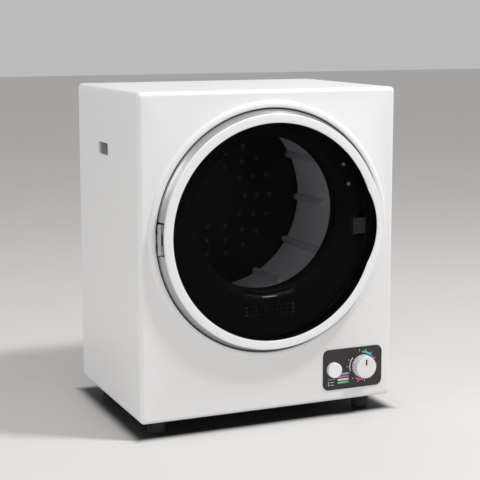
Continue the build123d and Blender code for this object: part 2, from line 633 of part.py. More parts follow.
def blower_impeller():
    y0 = SCROLL_Y0 + SCROLL_WALL + 4
    y1 = SCROLL_Y1 - SCROLL_WALL - 4
    wheel = disc(MOTOR_X, MOTOR_Z, IMPELLER_R, y1 - 2, y1)
    wheel += disc(MOTOR_X, MOTOR_Z, 12, y0 + 6, y1)
    wheel += tube(MOTOR_X, MOTOR_Z, IMPELLER_R, IMPELLER_R - 14, y0, y0 + 2)
    blades = []
    for step in range(BLADES):
        blade = Pos(MOTOR_X, MOTOR_Z) * Rot(0, 0, 360 * step / BLADES) * Pos(IMPELLER_R - 8, 0)
        blades.append(blade * Rot(0, 0, 35) * Rectangle(15, 1.6))
    cage = slab((Sketch() + blades) & (Pos(MOTOR_X, MOTOR_Z) * Circle(IMPELLER_R)), y0, y1)
    wheel += cage
    return wheel - disc(MOTOR_X, MOTOR_Z, MOTOR_SHAFT_R + FIT, y0, y1 + 1)


def lint_duct():
    """Flat duct from the filter pocket down to the blower's eye."""
    wall = 1.5
    y0 = FILTER_Y1 + REST_GAP + 1.5 + REST_GAP
    y_up = DRUM_Y0 - 1.5
    y_low = SCROLL_Y0 - REST_GAP
    half = FILTER_HALF + 3
    top = FILTER_LOW + 38
    split = DRUM_Z - DRUM_OUT - 8
    low = MOTOR_Z - EYE_R - 6
    left = MOTOR_X - EYE_R - 6
    upper = block(-half, half, y0, y_up, split - 10, top)
    lower = block(left, half, y0, y_low, low, split)
    room = block(-half + wall, half - wall, y0 + wall, y_up - wall, split - 12, top - wall)
    room += block(left + wall, half - wall, y0 + wall, y_low - wall, low + wall, split - wall)
    duct = upper + lower - room
    duct -= block(-half + 7, half - 7, y0 - 1, y0 + wall + 0.5, FILTER_LOW + 4, FILTER_LOW + 31)
    duct -= disc(MOTOR_X, MOTOR_Z, EYE_R, y_low - wall - 0.5, y_low + 1)
    return duct


def motor_housing():
    bore = 30.5
    body = disc(MOTOR_X, MOTOR_Z, MOTOR_R, MOTOR_FRONT, MOTOR_BACK)
    body -= disc(MOTOR_X, MOTOR_Z, bore, MOTOR_FRONT + 8, MOTOR_BACK - 8)
    body -= disc(MOTOR_X, MOTOR_Z, MOTOR_SHAFT_R + FIT, MOTOR_FRONT - 1, MOTOR_BACK + 1)
    for step in range(10):
        angle = 36 * step
        x, z = around(MOTOR_X, MOTOR_Z, 38, angle)
        slot = Pos(x, z) * Rot(0, 0, angle) * SlotOverall(10, 4)
        body -= slab(slot, MOTOR_FRONT - 1, MOTOR_FRONT + 3)
        body -= slab(slot, MOTOR_BACK - 3, MOTOR_BACK + 1)
    return body


def motor_rotor():
    rotor = disc(MOTOR_X, MOTOR_Z, MOTOR_SHAFT_R, SCROLL_Y0 + 10, BELT_Y1 + 2)
    rotor += disc(MOTOR_X, MOTOR_Z, 29.8, MOTOR_FRONT + 14, MOTOR_BACK - 14)
    return rotor


def motor_cradle():
    """Two saddles on a foot plate, clamped round the motor."""
    base_z = PAN_TOP
    plate = block(MOTOR_X - 44, MOTOR_X + 44, MOTOR_FRONT + 4, MOTOR_BACK - 4, base_z, base_z + 2)
    for y in (MOTOR_FRONT + 8, MOTOR_BACK - 14):
        saddle = block(MOTOR_X - 40, MOTOR_X + 40, y, y + 6, base_z + 1, MOTOR_Z - 10)
        plate += saddle
    plate -= disc(MOTOR_X, MOTOR_Z, MOTOR_R + 2 * FIT, MOTOR_FRONT - 1, MOTOR_BACK + 1)
    return plate


def motor_pulley():
    body = disc(MOTOR_X, MOTOR_Z, PULLEY_R, BELT_Y0 - 1, BELT_Y1 + 1)
    body += tube(MOTOR_X, MOTOR_Z, PULLEY_R + 3, MOTOR_SHAFT_R + 1, BELT_Y0 - 2, BELT_Y0 - 1)
    body += tube(MOTOR_X, MOTOR_Z, PULLEY_R + 3, MOTOR_SHAFT_R + 1, BELT_Y1 + 1, BELT_Y1 + 2)
    return body - disc(MOTOR_X, MOTOR_Z, MOTOR_SHAFT_R + FIT, BELT_Y0 - 3, BELT_Y1 + 3)


def hull_outline(circles):
    """The taut outline round circles given as (x, z, radius) in order round the loop."""
    corners = []
    shape = Sketch()
    count = len(circles)
    for index in range(count):
        x0, z0, r0 = circles[index]
        x1, z1, r1 = circles[(index + 1) % count]
        span = hypot(x1 - x0, z1 - z0)
        heading = atan2(z1 - z0, x1 - x0)
        tilt = heading - pi / 2 - atan2(r1 - r0, sqrt(span ** 2 - (r1 - r0) ** 2))
        corners.append((x0 + r0 * cos(tilt), z0 + r0 * sin(tilt)))
        corners.append((x1 + r1 * cos(tilt), z1 + r1 * sin(tilt)))
    shape += make_face(Polyline(*corners, close=True))
    for x, z, r in circles:
        shape += Pos(x, z) * Circle(r)
    return shape


def drive_belt():
    loop = [(0, DRUM_Z, DRUM_OUT), (MOTOR_X, MOTOR_Z, PULLEY_R), (IDLER_X, IDLER_Z, IDLER_R)]
    inner = hull_outline([(x, z, r + BELT_GAP) for x, z, r in loop])
    outer = hull_outline([(x, z, r + BELT_GAP + BELT_THICK) for x, z, r in loop])
    return slab(outer - inner, BELT_Y0, BELT_Y1)


def idler_arm():
    bar_angle = degrees(atan2(IDLER_Z - ARM_Z, IDLER_X - IDLER_ARM_X))
    span = hypot(IDLER_Z - ARM_Z, IDLER_X - IDLER_ARM_X)
    bar = Pos((IDLER_X + IDLER_ARM_X) / 2, (IDLER_Z + ARM_Z) / 2) * Rot(0, 0, bar_angle)
    arm = slab(bar * SlotCenterToCenter(span, 18), ARM_Y0, ARM_Y0 + ARM_THICK)
    arm -= disc(IDLER_ARM_X, ARM_Z, IDLER_PIN_R + FIT, ARM_Y0 - 1, ARM_Y0 + ARM_THICK + 1)
    arm += disc(IDLER_X, IDLER_Z, IDLER_PIN_R, BELT_Y0 - 4, ARM_Y0)
    arm += disc(IDLER_X, IDLER_Z, 6.5, BELT_Y0 - 5, BELT_Y0 - 4)
    return arm


def idler_pulley():
    body = disc(IDLER_X, IDLER_Z, IDLER_R, BELT_Y0 - 1, BELT_Y1 + 1)
    body += tube(IDLER_X, IDLER_Z, IDLER_R + 2.5, IDLER_PIN_R + 2, BELT_Y0 - 2.5, BELT_Y0 - 1)
    body += tube(IDLER_X, IDLER_Z, IDLER_R + 2.5, IDLER_PIN_R + 2, BELT_Y1 + 1, BELT_Y1 + 2.5)
    return body - disc(IDLER_X, IDLER_Z, IDLER_PIN_R + FIT, BELT_Y0 - 3, BELT_Y1 + 3)


def idler_bracket():
    """Upright plate on the base pan with the pin that the arm turns on."""
    y1 = BRACKET_Y0 + 2.5
    plate = block(IDLER_ARM_X - 16, IDLER_ARM_X + 16, BRACKET_Y0, y1, PAN_TOP, ARM_Z)
    plate += disc(IDLER_ARM_X, ARM_Z, 16, BRACKET_Y0, y1)
    plate += block(IDLER_ARM_X - 16, IDLER_ARM_X + 16, BRACKET_Y0, y1 + 20, PAN_TOP, PAN_TOP + 2)
    plate += disc(IDLER_ARM_X, ARM_Z, IDLER_PIN_R, ARM_Y0 - 4, BRACKET_Y0)
    plate += disc(IDLER_ARM_X, ARM_Z, 7, ARM_Y0 - 5.5, ARM_Y0 - 4)
    return plate


def idler_spring():
    """Torsion spring round the arm's pin, between the pin's head and the arm."""
    wire = 0.6
    lean = degrees(atan2(IDLER_Z - ARM_Z, IDLER_X - IDLER_ARM_X))
    spring = slab(Pos(IDLER_ARM_X, ARM_Z) * Rot(0, 0, lean) * Pos(12, 5.2) * Rectangle(26, 2 * wire),
                  ARM_Y0 - REST_GAP - 2 * wire, ARM_Y0 - REST_GAP)
    for step in range(3):
        y = ARM_Y0 - REST_GAP - wire - 1.1 * step
        spring += Pos(IDLER_ARM_X, y, ARM_Z) * Rot(90, 0, 0) * Torus(5.2, wire)
    return spring


# ================================================================ exhaust
def exhaust_pipe():
    return tube(EXHAUST_X, EXHAUST_Z, PIPE_R, PIPE_R - PIPE_WALL, SCROLL_Y1, BACK + 8)


def exhaust_spigot():
    bore = SPIGOT_R - SPIGOT_WALL
    spigot = tube(EXHAUST_X, EXHAUST_Z, SPIGOT_R, bore, BACK, BACK + SPIGOT_LENGTH)
    root_y = BACK + SPIGOT_FLANGE_THICK
    return spigot + tube(EXHAUST_X, EXHAUST_Z, SPIGOT_R + SPIGOT_STEP, bore, BACK, root_y)


def spigot_flange():
    """Ring that holds the spigot to the back panel."""
    root_r = SPIGOT_R + SPIGOT_STEP + FIT
    y1 = BACK + SPIGOT_FLANGE_THICK
    flange = tube(EXHAUST_X, EXHAUST_Z, SPIGOT_FLANGE_R, root_r, BACK, y1)
    for angle in SPIGOT_SCREW_ANGLES:
        x, z = around(EXHAUST_X, EXHAUST_Z, SPIGOT_SCREW_R, angle)
        flange -= disc(x, z, SCREW_HOLE_R, BACK - 1, y1 + 1)
    return flange


def rear_screws():
    """Screws of the back panel and of the exhaust spigot."""
    screws = [screw(x, z, BACK + SCREW_HEAD_THICK, -1, 8) for x, z in BACK_SCREWS]
    for angle in SPIGOT_SCREW_ANGLES:
        x, z = around(EXHAUST_X, EXHAUST_Z, SPIGOT_SCREW_R, angle)
        screws.append(screw(x, z, BACK + SPIGOT_FLANGE_THICK + SCREW_HEAD_THICK, -1, 6))
    return Compound(children=screws)


def cord_gland():
    """Rubber grommet in the back panel, with the bore the mains lead would leave by."""
    gland = tube(GLAND_X, GLAND_Z, GLAND_R - 0.1, GLAND_BORE_R, BACK - 5, BACK + 5)
    gland += tube(GLAND_X, GLAND_Z, GLAND_R + 4, GLAND_BORE_R, BACK, BACK + 3)
    return gland + tube(GLAND_X, GLAND_Z, GLAND_R + 4, GLAND_BORE_R, BACK - 4, BACK - SHEET)


def terminal_block():
    x0 = GLAND_X - 18
    z0 = GLAND_Z + 30
    body = block(x0, x0 + 36, BACK - SHEET - 18, BACK - SHEET, z0, z0 + 22)
    for step in range(3):
        x = x0 + 6 + 12 * step
        body -= disc(x, z0 + 14, 2.5, BACK - SHEET - 19, BACK - SHEET - 12)
    return body


def motor_capacitor():
    x = MOTOR_X + 110
    y = -60.0
    r = 17.0
    can = upright(x, y, r, PAN_TOP, PAN_TOP + 62)
    can = fillet(can.edges().sort_by(Axis.Z)[-1], 3)
    tabs = [Pos(x + dx, y, PAN_TOP + 65) * Box(0.8, 6, 8) for dx in (-5, 5)]
    return can + tabs[0] + tabs[1]


# ================================================================ controls


def control_plate():
    inner = Pos(PLATE_X, PLATE_Z) * RectangleRounded(PLATE_W - 2 * BEZEL, PLATE_H - 2 * BEZEL,
                                                     PLATE_R - BEZEL)
    plate = slab(inner, FRONT - PLATE_THICK + 0.3, FRONT)
    plate -= disc(KNOB_X, KNOB_Z, TIMER_SHAFT_R + 2.0, FRONT - 3, FRONT + 1)
    return plate - disc(BUTTON_X, BUTTON_Z, BUTTON_R + REST_GAP, FRONT - 3, FRONT + 1)


def control_bezel():
    """Thin white frame round the dark plate."""
    outer = Pos(PLATE_X, PLATE_Z) * RectangleRounded(PLATE_W, PLATE_H, PLATE_R)
    inner = Pos(PLATE_X, PLATE_Z) * RectangleRounded(PLATE_W - 2 * BEZEL + 0.1, PLATE_H - 2 * BEZEL + 0.1,
                                                     PLATE_R - BEZEL)
    frame = slab(outer - inner, FRONT - PLATE_THICK, FRONT)
    outer_edges = frame.faces().sort_by(Axis.Y)[0].outer_wire().edges()
    return fillet(outer_edges, 0.8)


def timer_knob():
    body = disc(KNOB_X, KNOB_Z, KNOB_R, KNOB_FACE, KNOB_BASE)
    body = chamfer(body.edges().sort_by(Axis.Y)[0], 1.6)
    flutes = []
    for step in range(KNOB_FLUTES):
        x, z = around(KNOB_X, KNOB_Z, KNOB_R + 0.7, 360 * (step + 0.5) / KNOB_FLUTES)
        flutes.append(Pos(x, z) * Circle(1.5))
    body -= slab(Sketch() + flutes, KNOB_FACE - 1, KNOB_BASE - 2.0)
    body -= disc(KNOB_X, KNOB_Z, KNOB_R - 2.5, KNOB_FACE + 3, KNOB_BASE + 1)
    body += tube(KNOB_X, KNOB_Z, TIMER_SHAFT_R + 2.5, TIMER_SHAFT_R + FIT, KNOB_FACE + 2, KNOB_BASE)
    pointer_low = KNOB_Z + 4
    pointer_high = KNOB_Z + KNOB_R - 4
    return body - block(KNOB_X - 1.1, KNOB_X + 1.1, KNOB_FACE - 1, KNOB_FACE + 0.6,
                        pointer_low, pointer_high)


def timer_body():
    body = disc(KNOB_X, KNOB_Z, 26, TIMER_Y0 + 3, TIMER_Y1)
    body += block(KNOB_X - 30, KNOB_X + 30, TIMER_Y0, TIMER_Y0 + 3, KNOB_Z - 14, KNOB_Z + 14)
    for step in range(4):
        body += block(KNOB_X - 18 + 10 * step, KNOB_X - 17 + 10 * step, TIMER_Y1, TIMER_Y1 + 8,
                      KNOB_Z - 4, KNOB_Z + 4)
    return body - disc(KNOB_X, KNOB_Z, TIMER_SHAFT_R + FIT, TIMER_Y0 - 1, TIMER_Y0 + 22)


def timer_shaft():
    return disc(KNOB_X, KNOB_Z, TIMER_SHAFT_R, KNOB_FACE + 3.2, TIMER_Y0 + 21)


def mode_button():
    cap = disc(BUTTON_X, BUTTON_Z, BUTTON_R, BUTTON_FACE, FRONT - 0.5)
    cap = fillet(cap.edges().sort_by(Axis.Y)[0], 1.8)
    stem = disc(BUTTON_X, BUTTON_Z, 4, FRONT - 0.6, FRONT + 12)
    return cap + stem


def mode_switch():
    """Push switch behind the button; the button's stem runs in its bore."""
    y0 = FRONT + BUTTON_TRAVEL + 2.0
    y1 = y0 + 26
    body = block(BUTTON_X - 12, BUTTON_X + 12, y0, y1, BUTTON_Z - 9, BUTTON_Z + 9)
    leg = BUTTON_R + 1.5
    body += block(BUTTON_X - leg - 5, BUTTON_X + leg + 5, y0, y0 + 3, BUTTON_Z - 6, BUTTON_Z + 6)
    for x0 in (BUTTON_X - leg - 5, BUTTON_X + leg):
        body += block(x0, x0 + 5, FRONT + SHEET, y0 + 1, BUTTON_Z - 6, BUTTON_Z + 6)
    for dx in (-7, 0, 7):
        body += block(BUTTON_X + dx - 0.4, BUTTON_X + dx + 0.4, y1, y1 + 8, BUTTON_Z - 3, BUTTON_Z + 3)
    return body - disc(BUTTON_X, BUTTON_Z, 4 + FIT, y0 - 1, y0 + 16)


# ================================================================ door
def swollen_circle(radius, reach, half_angle):
    """A circle that swells by reach at +X, over half_angle each side."""
    far = radius + reach
    c = radians(half_angle)
    offset = (far ** 2 - radius ** 2) / (2 * (far - radius * cos(c)))
    return Circle(radius) + Pos(offset, 0) * Circle(far - offset)


def on_door(sketch, y0, y1):
    return slab(Pos(0, DOOR_Z) * sketch, y0, y1)


def door_ring():
    """White front ring; its inside and outside swell at the finger grip."""
    outside = swollen_circle(RING_R, RING_SWELL, 26)
    inside = swollen_circle(WINDOW_R, GRIP_REACH, GRIP_HALF_ANGLE)
    ring = on_door(outside - inside, RING_FRONT, RING_FRONT + RING_THICK)
    rim = ring.faces().sort_by(Axis.Y)[0]
    return fillet(rim.outer_wire().edges(), 3.0)


def hinge_notch(y0, reach):
    """Room for the hinge in the door's edge, up to reach past the hinge axis."""
    half = HINGE_HALF + HINGE_ROOM
    return block(HINGE_X - 10, HINGE_X + reach, y0 - 1, DOOR_BACK + 1,
                 DOOR_Z - half, DOOR_Z + half)


def door_band():
    """Silver band behind the ring: a sleeve round the frame and a skirt that spreads to the back."""
    y0 = RING_FRONT + RING_THICK + GROOVE
    inside = BAND_R - BAND_WALL
    edge = BAND_R + BAND_FLARE
    rise = BAND_FLARE * BAND_WALL / (DOOR_BACK - y0)
    band = turned([(inside, y0), (BAND_R, y0), (edge, DOOR_BACK - BAND_LIP), (edge, DOOR_BACK),
                   (edge - BAND_WALL, DOOR_BACK), (BAND_R - rise, y0 + BAND_WALL),
                   (BAND_R - BAND_WALL / 3, DOOR_BACK), (inside, DOOR_BACK)], 0, DOOR_Z)
    return band - hinge_notch(y0, HINGE_EAR + 3.0)


def door_frame():
    """Black inner frame: it fills the ring's back, holds the window and the latch."""
    y0 = RING_FRONT + RING_THICK
    y_back = DOOR_BACK
    y_window = RING_FRONT + WINDOW_SET
    inside = swollen_circle(WINDOW_R - 0.8, GRIP_REACH, GRIP_HALF_ANGLE)
    outer = BAND_R - BAND_WALL - 0.1
    frame = on_door(Circle(outer) - inside, y0, y_back)
    liner = on_door(swollen_circle(WINDOW_R - 0.1, GRIP_REACH, GRIP_HALF_ANGLE) - inside,
                    RING_FRONT + 1.2, y0 + 1)
    frame += liner
    frame += on_door(inside - Circle(WINDOW_R - SHELF), y_window + WINDOW_THICK + 0.1, y_back)
    frame += on_door(swollen_circle(WINDOW_R - 0.5, GRIP_REACH, GRIP_HALF_ANGLE)
                     - Circle(WINDOW_R - 2), y_window, y_back)
    return frame - hinge_notch(y0, HINGE_EAR + 0.1)


def door_window():
    y0 = RING_FRONT + WINDOW_SET
    pane = on_door(Circle(WINDOW_R - 2.1), y0, y0 + WINDOW_THICK)
    return pane


def knuckle(z0, z1, bore):
    sleeve = upright(HINGE_X, HINGE_Y, KNUCKLE_R, z0, z1)
    return sleeve - upright(HINGE_X, HINGE_Y, bore, z0 - 1, z1 + 1)


def door_hinge():
    """Two knuckles on a leaf that is screwed into the door frame."""
    leaf = None
    y_leaf = HINGE_Y - 1.2
    for z0, z1 in ((DOOR_Z - HINGE_HALF, DOOR_Z - CENTRE_KNUCKLE),
                   (DOOR_Z + CENTRE_KNUCKLE, DOOR_Z + HINGE_HALF)):
        ear = block(HINGE_X, HINGE_X + HINGE_EAR, y_leaf, y_leaf + 2.4, z0, z1)
        part = knuckle(z0, z1, HINGE_PIN_R + 0.01)
        ear -= upright(HINGE_X, HINGE_Y, KNUCKLE_R - 0.2, z0 - 1, z1 + 1)
        leaf = part + ear if leaf is None else leaf + part + ear
    plate_x = HINGE_X + KNUCKLE_R + 1.5
    leaf += block(plate_x, plate_x + 2.7, y_leaf, DOOR_BACK,
                  DOOR_Z - HINGE_HALF, DOOR_Z + HINGE_HALF)
    return leaf


def hinge_bracket():
    """Fixed centre knuckle; its arm goes back through the gap to the bulkhead's edge."""
    z0 = DOOR_Z - CENTRE_KNUCKLE + REST_GAP
    z1 = DOOR_Z + CENTRE_KNUCKLE - REST_GAP
    arm = block(HINGE_X - 2.5, HINGE_X + 0.5, HINGE_Y, BULK_FRONT, z0, z1)
    arm -= upright(HINGE_X, HINGE_Y, KNUCKLE_R - 0.2, z0 - 1, z1 + 1)
    foot_plate = block(HINGE_X - 2.5, HINGE_X + 18, BULK_FRONT - 1.5, BULK_FRONT,
                       DOOR_Z - 8, DOOR_Z + 8)
    return knuckle(z0, z1, HINGE_PIN_R + FIT) + arm + foot_plate


def hinge_pin():
    pin = upright(HINGE_X, HINGE_Y, HINGE_PIN_R, DOOR_Z - HINGE_HALF, DOOR_Z + HINGE_HALF)
    head = upright(HINGE_X, HINGE_Y, 2.4, DOOR_Z + HINGE_HALF, DOOR_Z + HINGE_HALF + 1.2)
    return pin + head


def door_latch():
    """Striker block on the back of the door frame, with a tongue for the door switch."""
    x0 = SLOT_X0 + 4
    y0 = DOOR_BACK
    arm = block(x0, WINDOW_R, RING_FRONT + WINDOW_SET + WINDOW_THICK + REST_GAP, y0 - 0.2,
                LATCH_Z - 14, LATCH_Z + 14)
    arm &= disc(0, DOOR_Z, WINDOW_R - SHELF - FIT, RING_FRONT, BACK)
    tongue = block(x0, SLOT_X1 - 4, y0 - 0.5, BULK_BACK + 3.0, LATCH_Z - 12, LATCH_Z + 12)
    return arm + tongue


def switch_box():
    """Door switch and magnet carrier behind the bulkhead's latch slot."""
    y0 = BULK_BACK
    wall = 2.0
    body = block(SLOT_X0 - wall, SLOT_X1 + wall + 20, y0, y0 + 22,
                 LATCH_Z - SLOT_HALF - wall, LATCH_Z + SLOT_HALF + wall)
    body -= block(SLOT_X0, SLOT_X1, y0 - 1, y0 + 6, LATCH_Z - SLOT_HALF, LATCH_Z + SLOT_HALF)
    return body - Pos(PLUNGER_X, 0, LATCH_Z) * slab(Circle(PLUNGER_R + FIT), y0 - 1, y0 + 18)


def switch_plunger():
    y0 = BULK_BACK + 3.0 + REST_GAP
    return disc(PLUNGER_X, LATCH_Z, PLUNGER_R, y0, y0 + 14)


# ================================================================ lint filter
def lint_filter_frame():
    frame = block(-FILTER_HALF, FILTER_HALF, FILTER_Y0, FILTER_Y1, FILTER_LOW, FILTER_LOW + 36)
    frame += block(-14, 14, FILTER_Y0, FILTER_Y0 + 2.5, FILTER_LOW + 35, FILTER_HIGH - 1.0)
    return frame - block(-FILTER_HALF + 4, FILTER_HALF - 4, FILTER_Y0 - 1, FILTER_Y1 + 1,
                         FILTER_LOW + 4, FILTER_LOW + 32)


def lint_filter_screen():
    y0 = FILTER_Y0 + 3
    half = FILTER_HALF - 4
    screen = block(-half, half, y0, y0 + 1, FILTER_LOW + 4, FILTER_LOW + 32)
    cells = []
    for column in range(12):
        for row in range(4):
            x = -half + half * 2 * (column + 0.5) / 12
            z = FILTER_LOW + 4 + 28 * (row + 0.5) / 4
            cells.append(Pos(x, z) * Rectangle(5.6, 5.4))
    return screen - slab(Sketch() + cells, y0 - 1, y0 + 2)


# ================================================================ build
def build():
    keep("cabinet_wrap", cabinet_wrap())
    keep("front_panel", front_panel())
    keep("base_pan", base_pan())
    keep("back_panel", back_panel())
    keep("feet", Compound(children=[foot(x, y) for x, y in FEET]))
    keep("handle_left", handle_cup(-1))
    keep("handle_right", handle_cup(1))
    keep("front_bulkhead", bulkhead())
    keep("bulkhead_screws", bulkhead_screws())
    keep("front_felt_seal", front_felt_seal())
    keep("drum_glides", drum_glides())
    keep("drum_shell", drum_shell())
    keep("long_lifters", lifters(LONG_RIB_START, 0.5))
    keep("short_lifters", lifters(SHORT_RIB_START, 0.0))
    keep("drum_hub", drum_hub())
    keep("rear_felt_seal", rear_felt_seal())
    keep("rear_bulkhead", rear_bulkhead())
    keep("bearing_housing", bearing_housing())
    keep("drum_bearing", drum_bearing())
    keep("heater_housing", heater_housing())
    keep("heater_element", heater_element())
    keep("thermostats", thermostats())
    keep("blower_housing", blower_housing())
    keep("blower_impeller", blower_impeller())
    keep("lint_duct", lint_duct())
    keep("motor_housing", motor_housing())
    keep("motor_rotor", motor_rotor())
    keep("motor_cradle", motor_cradle())
    keep("motor_pulley", motor_pulley())
    keep("drive_belt", drive_belt())
    keep("idler_arm", idler_arm())
    keep("idler_pulley", idler_pulley())
    keep("idler_bracket", idler_bracket())
    keep("idler_spring", idler_spring())
    keep("exhaust_pipe", exhaust_pipe())
    keep("exhaust_spigot", exhaust_spigot())
    keep("spigot_flange", spigot_flange())
    keep("rear_screws", rear_screws())
    keep("cord_gland", cord_gland())
    keep("terminal_block", terminal_block())
    keep("motor_capacitor", motor_capacitor())
    keep("control_plate", control_plate())
    keep("control_bezel", control_bezel())
    keep("timer_knob", timer_knob())
    keep("timer_body", timer_body())
    keep("timer_shaft", timer_shaft())
    keep("mode_button", mode_button())
    keep("mode_switch", mode_switch())
    keep("door_ring", door_ring())
    keep("door_band", door_band())
    keep("door_frame", door_frame())
    keep("door_window", door_window())
    keep("door_hinge", door_hinge())
    keep("hinge_bracket", hinge_bracket())
    keep("hinge_pin", hinge_pin())
    keep("door_latch", door_latch())
    keep("switch_box", switch_box())
    keep("switch_plunger", switch_plunger())
    keep("lint_filter_frame", lint_filter_frame())
    keep("lint_filter_screen", lint_filter_screen())


build()
for node, shape in PARTS.items():
    export_step(shape, f"parts/{node}.step")
print(len(PARTS), "parts")
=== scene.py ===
"""Compact clothes dryer: the visible pieces and finishes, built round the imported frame."""
from math import asin, atan2, cos, degrees, pi, radians, sin, sqrt, tan

import bmesh
import bpy
from bpy.props import FloatProperty, FloatVectorProperty, IntProperty, PointerProperty
from mathutils import Matrix, Vector


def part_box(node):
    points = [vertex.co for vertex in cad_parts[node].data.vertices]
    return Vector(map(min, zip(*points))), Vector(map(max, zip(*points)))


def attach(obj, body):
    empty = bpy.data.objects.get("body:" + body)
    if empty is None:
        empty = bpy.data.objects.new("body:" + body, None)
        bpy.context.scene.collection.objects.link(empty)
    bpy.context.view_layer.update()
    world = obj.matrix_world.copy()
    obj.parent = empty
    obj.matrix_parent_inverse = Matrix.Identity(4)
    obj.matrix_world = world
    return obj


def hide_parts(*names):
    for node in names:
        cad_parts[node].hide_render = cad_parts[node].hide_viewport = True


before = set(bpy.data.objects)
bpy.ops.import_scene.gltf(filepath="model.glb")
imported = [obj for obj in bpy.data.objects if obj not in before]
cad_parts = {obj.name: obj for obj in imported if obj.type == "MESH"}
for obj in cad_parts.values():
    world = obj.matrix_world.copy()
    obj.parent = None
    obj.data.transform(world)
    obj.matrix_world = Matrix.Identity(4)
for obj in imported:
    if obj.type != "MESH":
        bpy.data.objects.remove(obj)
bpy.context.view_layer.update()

bl_info = {
    "name": "Compact Clothes Dryer",
    "version": (1, 0, 0),
    "blender": (4, 5, 0),
    "location": "View3D > Sidebar > Dryer",
    "description": "Builds the shells, door, drum ribs, controls and finishes of a small dryer",
    "category": "Add Mesh",
}

# ---------------------------------------------------------------- places, from the frame
MM = 0.001


def middle_and_size(node):
    """The middle of a carried-over part's box, and its size."""
    low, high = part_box(node)
    return (low + high) / 2, high - low


WRAP_LOW, WRAP_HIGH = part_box("cabinet_wrap")
RING_LOW, RING_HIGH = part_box("door_ring")
BAND_LOW, BAND_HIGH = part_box("door_band")
PLATE_LOW, PLATE_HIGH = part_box("control_plate")
BEZEL_LOW, BEZEL_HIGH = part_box("control_bezel")
WINDOW_LOW, WINDOW_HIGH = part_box("door_window")
DRUM_LOW, DRUM_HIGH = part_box("drum_shell")
KNOB_LOW, KNOB_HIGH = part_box("timer_knob")
BUTTON_LOW, BUTTON_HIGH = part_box("mode_button")
COLLAR_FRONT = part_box("front_panel")[0].y

FACE_Y = PLATE_HIGH.y          # flat front of the panel
SEAM_Y = WRAP_LOW.y            # where the panel meets the cabinet shell
BACK_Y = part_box("back_panel")[1].y
SIDE = WRAP_HIGH.x
LOW = WRAP_LOW.z
TOP = WRAP_HIGH.z
MIDDLE_Z = (LOW + TOP) / 2
EDGE = SEAM_Y - FACE_Y         # radius of the cabinet's front edges

DOOR_Z = (RING_LOW.z + RING_HIGH.z) / 2
RING_R = (RING_HIGH.z - RING_LOW.z) / 2
RING_SWELL = RING_HIGH.x - RING_R
WINDOW_R = RING_R - 16 * MM
GRIP_REACH = 7 * MM            # how far the opening swells towards the grip
BAND_R = RING_R - 0.5 * MM
BAND_EDGE_R = max((BAND_HIGH.z - BAND_LOW.z) / 2, BAND_R + 5 * MM)
LIP_R = BAND_R + 9.5 * MM      # inside of the panel's raised collar
COLLAR_R = LIP_R + 13 * MM     # outside of the same collar
SHEET = 1 * MM

DRUM_Z = (DRUM_LOW.z + DRUM_HIGH.z) / 2
DRUM_R = (DRUM_HIGH.x - DRUM_LOW.x) / 2 - 1.2 * MM
KNOB_X = (KNOB_LOW.x + KNOB_HIGH.x) / 2
KNOB_Z = (KNOB_LOW.z + KNOB_HIGH.z) / 2
KNOB_R = (KNOB_HIGH.x - KNOB_LOW.x) / 2
BUTTON_X = (BUTTON_LOW.x + BUTTON_HIGH.x) / 2
BUTTON_Z = (BUTTON_LOW.z + BUTTON_HIGH.z) / 2
BUTTON_R = (BUTTON_HIGH.x - BUTTON_LOW.x) / 2
BUTTON_ROOM = 0.3 * MM
SHAFT_HOLE_R = 5 * MM

# ================================================================ mesh helpers
def rounded(corners, steps=4):
    """A closed outline of (u, v, radius) corners, with each corner turned into an arc."""
    points = []
    count = len(corners)
    for index, (u, v, radius) in enumerate(corners):
        here = Vector((u, v))
        before = Vector(corners[index - 1][:2]) - here
        after = Vector(corners[(index + 1) % count][:2]) - here
        half = before.angle(after) / 2
        if radius <= 0 or half > pi / 2 - 0.01:
            points.append((u, v))
            continue
        reach = min(radius / tan(half), before.length * 0.49, after.length * 0.49)
        size = reach * tan(half)
        centre = here + (before.normalized() + after.normalized()).normalized() * (size / sin(half))
        start = here + before.normalized() * reach - centre
        turn = start.angle_signed(here + after.normalized() * reach - centre)
        for step in range(steps + 1):
            spoke = start.copy()
            spoke.rotate(Matrix.Rotation(-turn * step / steps, 2))
            points.append(tuple(centre + spoke))
    return points


def new_piece(name, points, faces):
    """A mesh object with doubled points merged and its normals outward."""
    mesh = bpy.data.meshes.new(name)
    mesh.from_pydata([tuple(p) for p in points], [], faces)
    shape = bmesh.new()
    shape.from_mesh(mesh)
    bmesh.ops.remove_doubles(shape, verts=shape.verts, dist=1e-7)
    bmesh.ops.recalc_face_normals(shape, faces=shape.faces)
    shape.to_mesh(mesh)
    shape.free()
    piece = bpy.data.objects.new(name, mesh)
    bpy.context.scene.collection.objects.link(piece)
    return piece


def loft(name, loops, around=True, closed=True, caps=False):
    """Skin between loops of equal count.

    around joins each loop's own ends, and closed joins the last loop to the first.
    """
    count = len(loops[0])
    points = [p for loop in loops for p in loop]
    faces = []
    rows = len(loops) if closed else len(loops) - 1
    columns = count if around else count - 1
    for row in range(rows):
        low = row * count
        high = ((row + 1) % len(loops)) * count
        for column in range(columns):
            after = (column + 1) % count
            faces.append((low + column, low + after, high + after, high + column))
    if caps:
        faces.append(tuple(range(count)))
        faces.append(tuple((len(loops) - 1) * count + i for i in range(count)))
    if not around and closed:
        faces.append(tuple(row * count for row in range(len(loops))))
        faces.append(tuple(row * count + count - 1 for row in range(len(loops))))
    return new_piece(name, points, faces)


def spoke_angles(count, start=0.0, stop=360.0):
    """Even angles in radians; an open arc includes both of its ends."""
    whole = abs(stop - start) >= 360
    last = count if whole else count - 1
    return [radians(start + (stop - start) * i / last) for i in range(count)]


